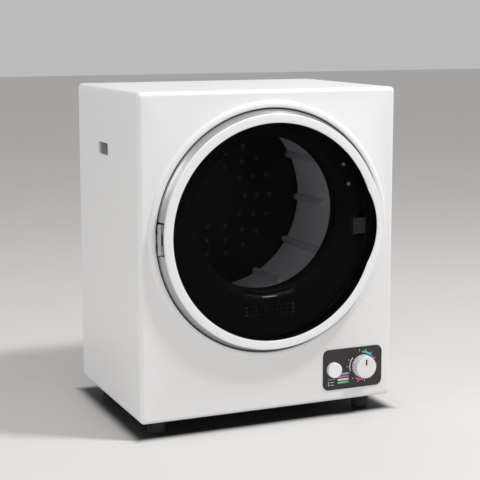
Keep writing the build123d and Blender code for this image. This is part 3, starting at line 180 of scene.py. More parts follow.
def turned(name, profile, x, z, count=192, arc=(0, 360), closed=True, shape=None):
    """A profile of (radius, y) points turned about a line along Y; shape may change a radius."""
    whole = abs(arc[1] - arc[0]) >= 360
    loops = []
    for radius, y in profile:
        loop = []
        for angle in spoke_angles(count, *arc):
            size = shape(radius, y, angle) if shape else radius
            loop.append((x + size * cos(angle), y, z + size * sin(angle)))
        loops.append(loop)
    return loft(name, loops, around=whole, closed=closed)


def upright(name, profile, x, y, count=64):
    """A profile of (radius, z) points turned about an upright line."""
    loops = []
    for radius, z in profile:
        loops.append([(x + radius * cos(a), y + radius * sin(a), z) for a in spoke_angles(count)])
    return loft(name, loops, closed=False)


def rectangle_outline(width, height, radius, steps=8):
    """A rounded rectangle about the origin, as (u, v) points."""
    w, h = width / 2, height / 2
    return rounded([(-w, -h, radius), (w, -h, radius), (w, h, radius), (-w, h, radius)], steps)


def rectangle_stack(name, rows, place, caps=True, closed=False):
    """Loft of rounded rectangles given as (width, height, radius, depth)."""
    loops = [[place(u, v, depth) for u, v in rectangle_outline(w, h, r)] for w, h, r, depth in rows]
    return loft(name, loops, closed=closed, caps=caps)


def box_piece(name, low, high):
    """A plain block, only used as a cutter."""
    corners = [(x, y, z) for x in (low[0], high[0]) for y in (low[1], high[1])
               for z in (low[2], high[2])]
    faces = [(0, 1, 3, 2), (4, 6, 7, 5), (0, 4, 5, 1), (2, 3, 7, 6), (0, 2, 6, 4), (1, 5, 7, 3)]
    return new_piece(name, corners, faces)


def drill(name, x, z, radius, y0, y1, count=64):
    """A round cutter along Y."""
    profile = [(0, y0), (radius, y0), (radius, y1), (0, y1)]
    return turned(name, profile, x, z, count, closed=False)


def settle(piece):
    """Apply a piece's modifiers to its mesh."""
    graph = bpy.context.evaluated_depsgraph_get()
    graph.update()
    made = bpy.data.meshes.new_from_object(piece.evaluated_get(graph))
    old = piece.data
    piece.modifiers.clear()
    piece.data = made
    bpy.data.meshes.remove(old)


def cut(piece, cutters):
    """Take the cutters out of a piece, and remove them."""
    for cutter in cutters:
        change = piece.modifiers.new("Cut", "BOOLEAN")
        change.operation = "DIFFERENCE"
        change.solver = "EXACT"
        change.object = cutter
    settle(piece)
    for cutter in cutters:
        bpy.data.objects.remove(cutter)


def join(name, pieces):
    """One piece made of several."""
    whole = bmesh.new()
    for piece in pieces:
        whole.from_mesh(piece.data)
    mesh = bpy.data.meshes.new(name)
    whole.to_mesh(mesh)
    whole.free()
    for piece in pieces:
        bpy.data.objects.remove(piece)
    joined = bpy.data.objects.new(name, mesh)
    bpy.context.scene.collection.objects.link(joined)
    return joined


def place_piece(piece, body, material, nodes=(), crease=32.0):
    """Shade, paint and hand over a piece to its body."""
    mesh = piece.data
    mesh.polygons.foreach_set("use_smooth", [True] * len(mesh.polygons))
    mesh.set_sharp_from_angle(angle=radians(crease))
    mesh.materials.clear()
    mesh.materials.append(material)
    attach(piece, body)
    if nodes:
        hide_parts(*nodes)
    return piece


# ================================================================ material helpers
class Paint:
    """A procedural material on one Principled shader, mapped in metres of the object's frame."""

    def __init__(self, name, colour, roughness, metallic=0.0):
        self.material = bpy.data.materials.new(name)
        self.material.use_nodes = True
        self.nodes = self.material.node_tree.nodes
        self.links = self.material.node_tree.links
        self.shader = self.nodes["Principled BSDF"]
        self.shader.inputs["Base Color"].default_value = (*colour[:3], 1.0)
        self.shader.inputs["Roughness"].default_value = roughness
        self.shader.inputs["Metallic"].default_value = metallic
        self.where = self.nodes.new("ShaderNodeTexCoord").outputs["Object"]
        self.height = None

    def stretched(self, stretch):
        """The place on the piece, scaled along each axis."""
        if stretch is None:
            return self.where
        mapping = self.nodes.new("ShaderNodeMapping")
        mapping.inputs["Scale"].default_value = stretch
        self.links.new(self.where, mapping.inputs["Vector"])
        return mapping.outputs["Vector"]

    def noise(self, scale, detail=3.0, rough=0.5, stretch=None):
        texture = self.nodes.new("ShaderNodeTexNoise")
        texture.inputs["Scale"].default_value = scale
        texture.inputs["Detail"].default_value = detail
        texture.inputs["Roughness"].default_value = rough
        self.links.new(self.stretched(stretch), texture.inputs["Vector"])
        return texture.outputs["Fac"]

    def cells(self, scale, stretch=None):
        texture = self.nodes.new("ShaderNodeTexVoronoi")
        texture.inputs["Scale"].default_value = scale
        self.links.new(self.stretched(stretch), texture.inputs["Vector"])
        return texture.outputs["Distance"]

    def waves(self, scale, direction="X", distortion=0.0, stretch=None):
        texture = self.nodes.new("ShaderNodeTexWave")
        texture.bands_direction = direction
        texture.inputs["Scale"].default_value = scale
        texture.inputs["Distortion"].default_value = distortion
        self.links.new(self.stretched(stretch), texture.inputs["Vector"])
        return texture.outputs["Fac"]

    def spread(self, value, low, high):
        """A value from 0 to 1, mapped to low to high."""
        change = self.nodes.new("ShaderNodeMapRange")
        change.inputs["To Min"].default_value = low
        change.inputs["To Max"].default_value = high
        self.links.new(value, change.inputs["Value"])
        return change.outputs["Result"]

    def tint(self, value, first, second):
        """Base colour that wanders between two colours."""
        mix = self.nodes.new("ShaderNodeMix")
        mix.data_type = "RGBA"
        mix.inputs["A"].default_value = (*first[:3], 1.0)
        mix.inputs["B"].default_value = (*second[:3], 1.0)
        self.links.new(value, mix.inputs["Factor"])
        self.links.new(mix.outputs["Result"], self.shader.inputs["Base Color"])
        return self

    def math(self, operation, value, number=None):
        """One arithmetic step on a value, with a number or another socket."""
        step = self.nodes.new("ShaderNodeMath")
        step.operation = operation
        self.links.new(value, step.inputs[0])
        if isinstance(number, bpy.types.NodeSocket):
            self.links.new(number, step.inputs[1])
        elif number is not None:
            step.inputs[1].default_value = number
        return step.outputs["Value"]

    def place(self, axis):
        """One coordinate of the place on the piece."""
        split = self.nodes.new("ShaderNodeSeparateXYZ")
        self.links.new(self.where, split.inputs["Vector"])
        return split.outputs[axis]

    def ramp(self, value, start, end):
        """0 up to start and 1 from end, with a smooth step between."""
        step = self.nodes.new("ShaderNodeMapRange")
        step.interpolation_type = "SMOOTHSTEP"
        step.inputs["From Min"].default_value = start
        step.inputs["From Max"].default_value = end
        self.links.new(value, step.inputs["Value"])
        return step.outputs["Result"]

    def cover(self, share, colour):
        """Another colour laid over the tint, as far as share goes from 0 to 1."""
        under = self.shader.inputs["Base Color"].links[0].from_socket
        mix = self.nodes.new("ShaderNodeMix")
        mix.data_type = "RGBA"
        mix.inputs["B"].default_value = (*colour[:3], 1.0)
        self.links.new(share, mix.inputs["Factor"])
        self.links.new(under, mix.inputs["A"])
        self.links.new(mix.outputs["Result"], self.shader.inputs["Base Color"])
        return self

    def gloss(self, value, low, high):
        """Roughness that wanders between two values."""
        self.links.new(self.spread(value, low, high), self.shader.inputs["Roughness"])
        return self

    def relief(self, value, depth, strength=1.0):
        """Bump of the given depth in metres; several add up."""
        bump = self.nodes.new("ShaderNodeBump")
        bump.inputs["Distance"].default_value = depth
        bump.inputs["Strength"].default_value = strength
        self.links.new(value, bump.inputs["Height"])
        if self.height is not None:
            self.links.new(self.height, bump.inputs["Normal"])
        self.height = bump.outputs["Normal"]
        self.links.new(self.height, self.shader.inputs["Normal"])
        return self

    def set(self, **values):
        """Plain values on the shader's own sockets."""
        for name, value in values.items():
            self.shader.inputs[name.replace("_", " ")].default_value = value
        return self


def shade(colour, factor):
    """A colour made lighter or darker by a factor."""
    return tuple(min(1.0, c * factor) for c in colour[:3])


def reuse(make):
    """Build each material once."""
    made = {}

    def get():
        if "material" not in made:
            made["material"] = make(bpy.context.scene.dryer_colours)
        return made["material"]
    return get


@reuse
def enamel(colours):
    """White baked enamel: faint orange peel, and a little wander in its gloss."""
    paint = Paint("white_enamel", colours.enamel, 0.34)
    paint.tint(paint.noise(3.0, 2.0), colours.enamel, shade(colours.enamel, 0.975))
    paint.gloss(paint.noise(14.0, 4.0), 0.28, 0.40)
    paint.relief(paint.noise(420.0, 2.0), 0.00012, 0.35)
    return paint.set(Coat_Weight=0.25, Coat_Roughness=0.18).material


@reuse
def gloss_white(colours):
    """Polished white moulding with the soft ripple of a thick wall."""
    paint = Paint("gloss_white_plastic", colours.gloss_white, 0.2)
    paint.tint(paint.noise(5.0, 2.0), colours.gloss_white, shade(colours.gloss_white, 0.98))
    paint.gloss(paint.noise(30.0, 4.0), 0.15, 0.27)
    paint.relief(paint.noise(60.0, 1.0), 0.0002, 0.12)
    return paint.set(Coat_Weight=0.3, Coat_Roughness=0.08).material


@reuse
def satin_white(colours):
    """White moulding with a fine spark-eroded grain."""
    paint = Paint("satin_white_plastic", colours.satin_white, 0.42)
    paint.tint(paint.noise(20.0, 3.0), colours.satin_white, shade(colours.satin_white, 0.96))
    paint.gloss(paint.noise(90.0, 3.0), 0.36, 0.52)
    return paint.relief(paint.noise(2600.0, 2.0), 0.00004, 0.6).material


@reuse
def handle_plastic(colours):
    """White handle moulding, with painted shade that turns the inside of its pocket grey."""
    paint = Paint("handle_plastic", colours.satin_white, 0.4)
    paint.tint(paint.noise(20.0, 3.0), colours.satin_white, shade(colours.satin_white, 0.96))
    # Painted shade: more than 6 mm in from the cabinet side the handle turns dark grey, standing in
    # for the shade inside the recess.
    outward = paint.ramp(paint.math("ABSOLUTE", paint.place("X")), SIDE - 6 * MM, SIDE)
    paint.cover(paint.spread(outward, 1.0, 0.0), colours.handle_pocket_painted_shade)
    paint.gloss(paint.noise(60.0, 4.0), 0.34, 0.48)
    return paint.relief(paint.noise(600.0, 2.0), 0.00005, 0.4).material


@reuse
def silver(colours):
    """Satin silver band, drawn round its edge."""
    paint = Paint("silver_trim", colours.silver, 0.3, 0.85)
    paint.tint(paint.noise(9.0, 3.0), colours.silver, shade(colours.silver, 0.9))
    paint.gloss(paint.noise(40.0, 5.0, 0.6, (1, 14, 1)), 0.22, 0.38)
    return paint.relief(paint.noise(180.0, 4.0, 0.6, (1, 20, 1)), 0.00005, 0.5).material


@reuse
def black_moulding(colours):
    """Black moulding with a fine grain and slight sheen changes."""
    paint = Paint("black_moulding", colours.black, 0.38)
    paint.tint(paint.noise(25.0, 3.0), colours.black, shade(colours.black, 1.6))
    paint.gloss(paint.noise(60.0, 4.0), 0.30, 0.48)
    return paint.relief(paint.noise(1800.0, 2.0), 0.00005, 0.6).material


@reuse
def deep_black(colours):
    """Matt black moulding of the inner door and bulkhead, which swallows light."""
    paint = Paint("deep_black_moulding", shade(colours.black, 0.15), 0.6)
    paint.tint(paint.noise(18.0, 3.0), shade(colours.black, 0.1), shade(colours.black, 0.25))
    paint.gloss(paint.noise(50.0, 3.0), 0.5, 0.7)
    paint.relief(paint.noise(160.0, 2.0), 0.00002, 0.2)
    return paint.set(Specular_IOR_Level=0.06).material


@reuse
def painted_rear_shade(colours):
    """Painted shade: dark grey on the sheet behind the drum, so that it reads as shade through the
    drum's holes.
    """
    paint = Paint("dark_stove_paint", colours.stove_paint, 0.6)
    paint.tint(paint.noise(14.0, 3.0), colours.stove_paint, (0.05, 0.05, 0.052))
    paint.gloss(paint.noise(40.0, 3.0), 0.5, 0.7)
    return paint.relief(paint.noise(500.0, 2.0), 0.00003, 0.3).material


@reuse
def smoked(colours):
    """Smoked clear window, seen through where it is lit from behind."""
    paint = Paint("smoked_window", colours.smoke, 0.05)
    paint.gloss(paint.noise(35.0, 5.0, 0.6), 0.03, 0.075)
    paint.relief(paint.noise(22.0, 1.0), 0.0002, 0.06)
    paint.set(Alpha=0.18, IOR=1.49, Specular_IOR_Level=0.1)
    paint.material.surface_render_method = "BLENDED"
    return paint.material


@reuse
def drum_enamel(colours):
    """Grey drum enamel, dark on the pierced back wall, lightly polished by use."""
    paint = Paint("drum_enamel", colours.drum, 0.36, 0.1)
    rear = paint.ramp(paint.place("Y"), DRUM_HIGH.y - 12 * MM, DRUM_HIGH.y - 6 * MM)
    paint.tint(paint.noise(16.0, 4.0), colours.drum, shade(colours.drum, 0.86))
    paint.cover(rear, colours.drum_back)
    paint.set(Specular_IOR_Level=0.2)
    paint.gloss(paint.noise(30.0, 4.0), 0.28, 0.44)
    return paint.relief(paint.noise(300.0, 3.0), 0.00008, 0.4).material


@reuse
def lifter_plastic(colours):
    """Moulded ribs, rubbed smooth by the load."""
    paint = Paint("lifter_plastic", colours.lifter, 0.3)
    paint.tint(paint.noise(40.0, 3.0), colours.lifter, shade(colours.lifter, 0.9))
    paint.gloss(paint.noise(50.0, 4.0), 0.24, 0.4)
    return paint.relief(paint.noise(900.0, 2.0), 0.00005, 0.4).material


@reuse
def galvanised(colours):
    """Zinc-coated sheet with its flaky spangle."""
    paint = Paint("galvanised_sheet", colours.zinc, 0.42, 0.9)
    paint.tint(paint.cells(140.0), colours.zinc, shade(colours.zinc, 0.78))
    paint.gloss(paint.cells(90.0), 0.32, 0.52)
    return paint.relief(paint.noise(260.0, 3.0), 0.00005, 0.35).material


@reuse
def turned_steel(colours):
    """Machined steel with tool rings along Y."""
    paint = Paint("turned_steel", colours.steel, 0.3, 1.0)
    paint.tint(paint.noise(30.0, 4.0), colours.steel, shade(colours.steel, 0.85))
    paint.gloss(paint.noise(70.0, 4.0), 0.22, 0.42)
    return paint.relief(paint.waves(900.0, "Y", 1.5), 0.00003, 0.4).material


@reuse
def zinc_screw(colours):
    """Zinc-plated screws with a speckled sheen."""
    paint = Paint("zinc_screws", colours.steel, 0.32, 1.0)
    paint.tint(paint.noise(300.0, 3.0), colours.steel, shade(colours.steel, 0.8))
    paint.gloss(paint.noise(400.0, 3.0), 0.25, 0.45)
    return paint.relief(paint.noise(1500.0, 2.0), 0.00003, 0.5).material


@reuse
def bronze(colours):
    """Sintered bronze with its open pores."""
    paint = Paint("sintered_bronze", colours.bronze, 0.4, 1.0)
    paint.tint(paint.noise(500.0, 3.0), colours.bronze, (0.38, 0.22, 0.09))
    paint.gloss(paint.noise(200.0, 3.0), 0.32, 0.5)
    return paint.relief(paint.cells(1500.0), 0.00005, 0.5).material


@reuse
def felt(colours):
    """Pressed wool: matted fibres and a soft sheen."""
    paint = Paint("pressed_felt", colours.felt, 0.95)
    paint.tint(paint.noise(700.0, 5.0, 0.7), shade(colours.felt, 0.7), colours.felt)
    paint.gloss(paint.noise(120.0, 3.0), 0.88, 0.98)
    paint.relief(paint.noise(1600.0, 6.0, 0.8, (1, 3, 1)), 0.0005, 0.9)
    return paint.set(Sheen_Weight=0.4, Sheen_Roughness=0.6).material


@reuse
def rubber(colours):
    """Black rubber, dusty where it is handled."""
    paint = Paint("black_rubber", colours.rubber, 0.75)
    paint.tint(paint.noise(60.0, 5.0, 0.7), colours.rubber, shade(colours.rubber, 2.4))
    paint.gloss(paint.noise(80.0, 4.0), 0.62, 0.88)
    return paint.relief(paint.noise(900.0, 3.0), 0.0001, 0.6).material


@reuse
def belt_rubber(colours):
    """Belt rubber with ribs that run along it."""
    paint = Paint("belt_rubber", colours.rubber, 0.7)
    paint.tint(paint.noise(90.0, 4.0), colours.rubber, shade(colours.rubber, 1.9))
    paint.gloss(paint.noise(120.0, 3.0), 0.55, 0.8)
    return paint.relief(paint.waves(120.0, "Y"), 0.0006, 0.8).material


@reuse
def grey_plastic(colours):
    """Unpainted grey moulding of the ducts and housings."""
    paint = Paint("grey_plastic", colours.grey, 0.5)
    paint.tint(paint.noise(30.0, 3.0), colours.grey, shade(colours.grey, 0.9))
    paint.gloss(paint.noise(60.0, 3.0), 0.42, 0.6)
    return paint.relief(paint.noise(1400.0, 2.0), 0.00006, 0.5).material


@reuse
def mesh_cloth(colours):
    """Fine nylon gauze of the lint filter."""
    paint = Paint("filter_gauze", colours.gauze, 0.7)
    weave = paint.waves(700.0, "X")
    paint.tint(weave, colours.gauze, (0.34, 0.34, 0.33))
    paint.gloss(paint.noise(200.0, 3.0), 0.6, 0.8)
    paint.relief(weave, 0.0002, 0.7)
    return paint.relief(paint.waves(700.0, "Z"), 0.0002, 0.7).material


@reuse
def overlay(colours):
    """Dark printed overlay of the controls, with a fine velvet texture."""
    paint = Paint("control_overlay", colours.overlay, 0.3)
    paint.tint(paint.noise(45.0, 3.0), colours.overlay, shade(colours.overlay, 1.35))
    paint.gloss(paint.noise(80.0, 4.0), 0.24, 0.38)
    return paint.relief(paint.noise(2400.0, 2.0), 0.00003, 0.5).material


@reuse
def ceramic(colours):
    """Ribbed ceramic of the heater, scorched in patches."""
    paint = Paint("heater_ceramic", colours.ceramic, 0.7)
    paint.tint(paint.noise(120.0, 4.0), colours.ceramic, (0.5, 0.44, 0.36))
    paint.gloss(paint.noise(90.0, 3.0), 0.6, 0.85)
    return paint.relief(paint.waves(260.0, "X"), 0.0005, 0.7).material


def ink(name, colour):
    """Printed ink: slightly uneven coverage and a low sheen."""
    paint = Paint(name, colour, 0.4)
    paint.tint(paint.noise(900.0, 3.0), colour, shade(colour, 0.85))
    paint.gloss(paint.noise(500.0, 2.0), 0.34, 0.5)
    return paint.relief(paint.noise(2500.0, 2.0), 0.00002, 0.4).material


NODE_FINISHES = {
    enamel: ["cabinet_wrap", "front_panel"],
    # The rear bulkhead gets painted shade: dark grey so that the drum's holes read dark.
    painted_rear_shade: ["rear_bulkhead"],
    galvanised: ["base_pan", "back_panel", "bearing_housing", "heater_housing",
                 "motor_cradle", "idler_arm", "idler_bracket"],
    satin_white: ["handle_left", "handle_right", "drum_glides", "exhaust_spigot", "spigot_flange",
                  "terminal_block", "motor_capacitor", "lint_filter_frame", "timer_knob",
                  "switch_plunger"],
    gloss_white: ["mode_button", "door_ring"],
    deep_black: ["front_bulkhead", "door_frame"],
    black_moulding: ["switch_box", "mode_switch", "door_latch"],
    silver: ["door_band", "door_hinge", "hinge_bracket"],
    smoked: ["door_window"],
    drum_enamel: ["drum_shell"],
    lifter_plastic: ["long_lifters", "short_lifters"],
    turned_steel: ["drum_hub", "motor_housing", "motor_rotor", "motor_pulley", "idler_spring",
                   "thermostats", "timer_shaft", "hinge_pin"],
    zinc_screw: ["bulkhead_screws", "rear_screws"],
    bronze: ["drum_bearing"],
    felt: ["front_felt_seal", "rear_felt_seal"],
    rubber: ["feet", "cord_gland"],
    belt_rubber: ["drive_belt"],
    grey_plastic: ["blower_housing", "blower_impeller", "lint_duct", "idler_pulley", "exhaust_pipe",
                   "timer_body"],
    mesh_cloth: ["lint_filter_screen"],
    overlay: ["control_plate", "control_bezel"],
    ceramic: ["heater_element"],
}


def paint_nodes():
    """Give every CAD node its finish."""
    for finish, names in NODE_FINISHES.items():
        for name in names:
            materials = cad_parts[name].data.materials
            materials.clear()
            materials.append(finish())


# ================================================================ cabinet
def cabinet_loop(inset, y, angles, centre_z, edge):
    """Where rays from the centre line meet the cabinet's rounded outline, drawn in by inset."""
    half = SIDE - inset
    high = TOP - inset - centre_z
    low = centre_z - LOW - inset
    corner = max(edge - inset, 0.4 * MM)
    loop = []
    for angle in angles:
        dx, dz = cos(angle), sin(angle)
        tall = high if dz > 0 else low
        reach = min(half / max(abs(dx), 1e-9), tall / max(abs(dz), 1e-9))
        x, z = dx * reach, dz * reach
        cx = half - corner
        cz = tall - corner
        if abs(x) > cx and abs(z) > cz:
            along = abs(dx) * cx + abs(dz) * cz
            reach = along + sqrt(max(along ** 2 - cx ** 2 - cz ** 2 + corner ** 2, 0.0))
            x, z = dx * reach, dz * reach
        loop.append((x, y, centre_z + z))
    return loop


def outline_angles(centre_z, count=240, extra=14, width=3.2):
    """Even rays, with more of them at the four corners."""
    angles = {2 * pi * step / count for step in range(count)}
    for x, z in ((SIDE, TOP), (-SIDE, TOP), (-SIDE, LOW), (SIDE, LOW)):
        corner = atan2(z - centre_z, x) % (2 * pi)
        for step in range(-extra, extra + 1):
            angles.add((corner + radians(width) * step / extra) % (2 * pi))
    return sorted(angles)


def circle_loop(radius, y, angles):
    """A circle round the door's centre, on the same rays as the cabinet's outline."""
    return [(radius * cos(a), y, DOOR_Z + radius * sin(a)) for a in angles]


def build_front_panel(sizes):
    """The panel's rounded edge, flat face, raised collar and the lip inside it, as one sheet."""
    angles = outline_angles(DOOR_Z)
    loops = [cabinet_loop(sizes.seam_relief, SEAM_Y, angles, DOOR_Z, EDGE)]
    steps = 8
    seam_overlap = 0.4 * MM
    for step in range(steps + 1):
        turn = pi / 2 * step / steps
        inset = EDGE * (1 - cos(turn))
        y = FACE_Y + EDGE * (1 - sin(turn)) - (seam_overlap if step == 0 else 0)
        loops.append(cabinet_loop(inset, y, angles, DOOR_Z, EDGE))
    proud = FACE_Y - COLLAR_FRONT
    collar = [(0.0, 0.0), (-0.6, 0.05), (-1.4, 0.2), (-2.6, 0.5), (-4.2, 0.78), (-6.2, 0.93),
              (-8.5, 0.99), (-10.4, 1.0), (-11.6, 0.97), (-12.5, 0.88), (-12.9, 0.76), (-13.0, 0.6)]
    for reach, share in collar:
        loops.append(circle_loop(COLLAR_R + reach * MM, FACE_Y - share * proud, angles))
    lip_back = FACE_Y + 5.8 * MM
    flange_r = LIP_R - 14 * MM
    inside = [(LIP_R, lip_back), (flange_r, lip_back), (flange_r, lip_back + SHEET),
              (LIP_R + SHEET, lip_back + SHEET), (LIP_R + SHEET, FACE_Y - proud + 2 * SHEET),
              (COLLAR_R - 5 * MM, FACE_Y - 2 * SHEET), (COLLAR_R - 1.5 * MM, FACE_Y + SHEET)]
    loops += [circle_loop(radius, y, angles) for radius, y in inside]
    loops.append(cabinet_loop(EDGE, FACE_Y + SHEET, angles, DOOR_Z, EDGE))
    loops.append(cabinet_loop(SHEET, FACE_Y + EDGE, angles, DOOR_Z, EDGE))
    panel = loft("front_panel_skin", loops)
    y0, y1 = FACE_Y - 20 * MM, FACE_Y + 5 * MM
    cut(panel, [drill("button_hole", BUTTON_X, BUTTON_Z, BUTTON_R + BUTTON_ROOM, y0, y1, 48),
                drill("shaft_hole", KNOB_X, KNOB_Z, SHAFT_HOLE_R, y0, y1, 32)])
    return place_piece(panel, "cabinet", enamel(), ["front_panel"])


def build_wrap(sizes):
    """The cabinet's folded sides and top, open below and pierced for the two handles."""
    angles = outline_angles(MIDDLE_Z)
    relief = sizes.seam_relief
    back = WRAP_HIGH.y
    rear_flange = 12 * MM
    rows = [(relief, SEAM_Y), (0.0, SEAM_Y + relief), (0.0, back - relief), (relief, back),
            (rear_flange, back), (rear_flange, back - SHEET), (SHEET, back - SHEET), (SHEET, SEAM_Y)]
    wrap = loft("cabinet_shell",
                [cabinet_loop(inset, y, angles, MIDDLE_Z, EDGE) for inset, y in rows])
    floor_flange = 24 * MM
    open_half = SIDE - EDGE - floor_flange
    past = 10 * MM
    cutters = [box_piece("floor_cut", (-open_half, SEAM_Y - past, LOW - past),
                         (open_half, back - 3 * SHEET, LOW + 2 * MM))]
    for side, node in ((-1, "handle_left"), (1, "handle_right")):
        middle, size = middle_and_size(node)
        half_y = size.y / 2 - 9 * MM
        half_z = size.z / 2 - 2 * MM
        cutters.append(box_piece(node + "_cut",
                                 (side * SIDE - past, middle.y - half_y, middle.z - half_z),
                                 (side * SIDE + past, middle.y + half_y, middle.z + half_z)))
    cut(wrap, cutters)
    return place_piece(wrap, "cabinet", enamel(), ["cabinet_wrap"])


def build_handle(side, node):
    """A carrying handle: a thin rim outside the sheet and a deep cup behind it."""
    middle, size = middle_and_size(node)
    length, tall = size.y, size.z
    rim = 1.2 * MM
    depth = size.x - rim
    mouth_l, mouth_t = length - 22.6 * MM, tall - 8.6 * MM
    back_l, back_t = length - 18.6 * MM, tall - 4.6 * MM
    rows = [(back_l, back_t, 5 * MM, -depth), (back_l, back_t, 5 * MM, -0.2 * MM),
            (length, tall, 9 * MM, 0.0), (length, tall, 9 * MM, rim * 0.45),
            (length - 0.7 * MM, tall - 0.7 * MM, 8.6 * MM, rim * 0.85),
            (length - 2 * MM, tall - 2 * MM, 8 * MM, rim),
            (mouth_l + 3 * MM, mouth_t + 2.6 * MM, 5.4 * MM, rim),
            (mouth_l + 1.0 * MM, mouth_t + 0.9 * MM, 4.6 * MM, rim * 0.6),
            (mouth_l, mouth_t, 4 * MM, -0.6 * MM),
            (mouth_l - 0.6 * MM, mouth_t - 0.6 * MM, 4 * MM, -depth + 4 * MM),
            (mouth_l - 3 * MM, mouth_t - 3 * MM, 3.4 * MM, -depth + 2 * MM)]
    loops = []
    for w, h, r, x in rows:
        loops.append([(side * (SIDE + x), middle.y + u, middle.z + v)
                      for u, v in rectangle_outline(w, h, r)])
    cup = loft(f"{node}_cup", loops, closed=False, caps=True)
    return place_piece(cup, "cabinet", handle_plastic(), [node], 40)


def build_feet():
    """Four moulded feet, each with a groove above its tread and a plug into the base."""
    low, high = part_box("feet")
    tip, root, plug = 15 * MM, 18 * MM, 10 * MM
    profile = rounded([(0, 0, 0), (tip, 0, 2.5 * MM), (tip + 1.2 * MM, 0.3 * LOW, 0),
                       (tip + 0.4 * MM, 0.36 * LOW, 1 * MM), (root - 0.8 * MM, 0.9 * LOW, 1 * MM),
                       (root, LOW, 0.8 * MM), (plug, LOW, 0), (plug, LOW + 1 * MM, 0),
                       (0, LOW + 1.3 * MM, 0)], 4)
    feet = [upright("foot", profile, x, y) for x in (low.x + root, high.x - root)
            for y in (low.y + root, high.y - root)]
    return place_piece(join("rubber_feet", feet), "cabinet", rubber(), ["feet"], 40)


def screw_piece(name, x, y, z, direction, length):
    """Pan-head screw along Y with a cross recess; its head rests at y."""
    head, tall, shank = 3.4 * MM, 1.8 * MM, 1.6 * MM
    profile = [(0, y - direction * tall), (head * 0.5, y - direction * tall * 0.96),
               (head * 0.82, y - direction * tall * 0.72), (head * 0.98, y - direction * tall * 0.3),
               (head, y), (shank, y), (shank, y + direction * (length - 1.5 * MM)),
               (0, y + direction * length)]
    body = turned(name, profile, x, z, 32, closed=False)
    slots = []
    deep = y - direction * tall * 0.35
    out = y - direction * tall * 2
    arm, blade = 2.0 * MM, 0.38 * MM
    for wide, high in ((arm, blade), (blade, arm)):
        slots.append(box_piece("slot", (x - wide, min(deep, out), z - high),
                               (x + wide, max(deep, out), z + high)))
    cut(body, slots)
    return body


def island_centres(node):
    """Centres (x, z) of a node's separate small solids, found from its own mesh."""
    reach = 9 * MM
    groups = []
    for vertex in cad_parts[node].data.vertices:
        spot = Vector((vertex.co.x, vertex.co.z))
        for group in groups:
            if (spot - group[0]).length < reach:
                group.append(spot)
                break
        else:
            groups.append([spot])
    centres = []
    for group in groups:
        xs = [spot.x for spot in group]
        zs = [spot.y for spot in group]
        centres.append(((min(xs) + max(xs)) / 2, (min(zs) + max(zs)) / 2))
    return centres


def build_screws():
    """The bulkhead's screws, and those of the back panel and the exhaust flange."""
    head_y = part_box("bulkhead_screws")[0].y + 1.8 * MM
    front = [screw_piece("screw", x, head_y, z, 1, 9 * MM)
             for x, z in island_centres("bulkhead_screws")]
    place_piece(join("bulkhead_screw_set", front), "cabinet", zinc_screw(),
                ["bulkhead_screws"], 40)
    low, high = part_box("spigot_flange")
    rear = []
    for x, z in island_centres("rear_screws"):
        on_flange = low.x < x < high.x and low.z < z < high.z
        rear.append(screw_piece("screw", x, high.y if on_flange else BACK_Y, z, -1, 7 * MM))
    place_piece(join("rear_screw_set", rear), "cabinet", zinc_screw(),
                ["rear_screws"], 40)


def build_spigot():
    """The exhaust spigot with its hose bead, and the flange that holds it."""
    middle, size = middle_and_size("exhaust_spigot")
    low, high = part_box("exhaust_spigot")
    root = size.x / 2
    radius = root - 0.8 * MM
    wall, bead = 1.2 * MM, 0.4 * MM
    y0, y1 = low.y, high.y
    profile = rounded([(radius - wall, y0, 0), (root, y0, 0), (root, y0 + 2 * MM, 0.3 * MM),
                       (radius, y0 + 2 * MM, 0), (radius, y1 - 9 * MM, 0),
                       (radius - bead, y1 - 8 * MM, 0), (radius - bead, y1 - 6 * MM, 0),
                       (radius, y1 - 5 * MM, 0.5 * MM), (radius, y1, 0.5 * MM),
                       (radius - wall, y1, 0.5 * MM)], 3)
    place_piece(turned("exhaust_collar", profile, middle.x, middle.z, 128), "cabinet",
                satin_white(), ["exhaust_spigot"], 40)
    low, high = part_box("spigot_flange")
    outer = (high.x - low.x) / 2
    inner = root + 0.05 * MM
    profile = rounded([(inner, low.y, 0), (outer, low.y, 0), (outer, high.y, 1.2 * MM),
                       (inner, high.y, 0.3 * MM)], 4)
    place_piece(turned("exhaust_flange", profile, middle.x, middle.z, 128), "cabinet",
                satin_white(), ["spigot_flange"], 40)


def build_gland():
    """The rubber gland, gripping the back panel between its two flanges."""
    middle, size = middle_and_size("cord_gland")
    low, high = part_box("cord_gland")
    outer = size.x / 2
    bore, neck = 4 * MM, 7.9 * MM
    panel0 = BACK_Y - SHEET
    profile = rounded([(bore, low.y, 0.5 * MM), (neck, low.y, 0.5 * MM), (neck, panel0 - 3 * MM, 0),
                       (outer, panel0 - 3 * MM, 0.8 * MM), (outer, panel0, 0.5 * MM),
                       (neck, panel0, 0), (neck, BACK_Y, 0), (outer, BACK_Y, 0.5 * MM),
                       (outer, BACK_Y + 2.6 * MM, 1.2 * MM), (7.0 * MM, BACK_Y + 3 * MM, 0.6 * MM),
                       (6.2 * MM, high.y, 0.7 * MM), (bore, high.y, 0.5 * MM)], 4)
    place_piece(turned("cord_grommet", profile, middle.x, middle.z, 64), "cabinet",
                rubber(), ["cord_gland"], 40)


# ================================================================ door
def swell(radius, reach, half_angle, angle):
    """Radius at an angle of a circle that swells by reach at +X."""
    far = radius + reach
    half = radians(half_angle)
    offset = (far ** 2 - radius ** 2) / (2 * (far - radius * cos(half)))
    size = far - offset
    inside = size ** 2 - (offset * sin(angle)) ** 2
    if inside <= 0:
        return radius
    return max(radius, offset * cos(angle) + sqrt(inside))


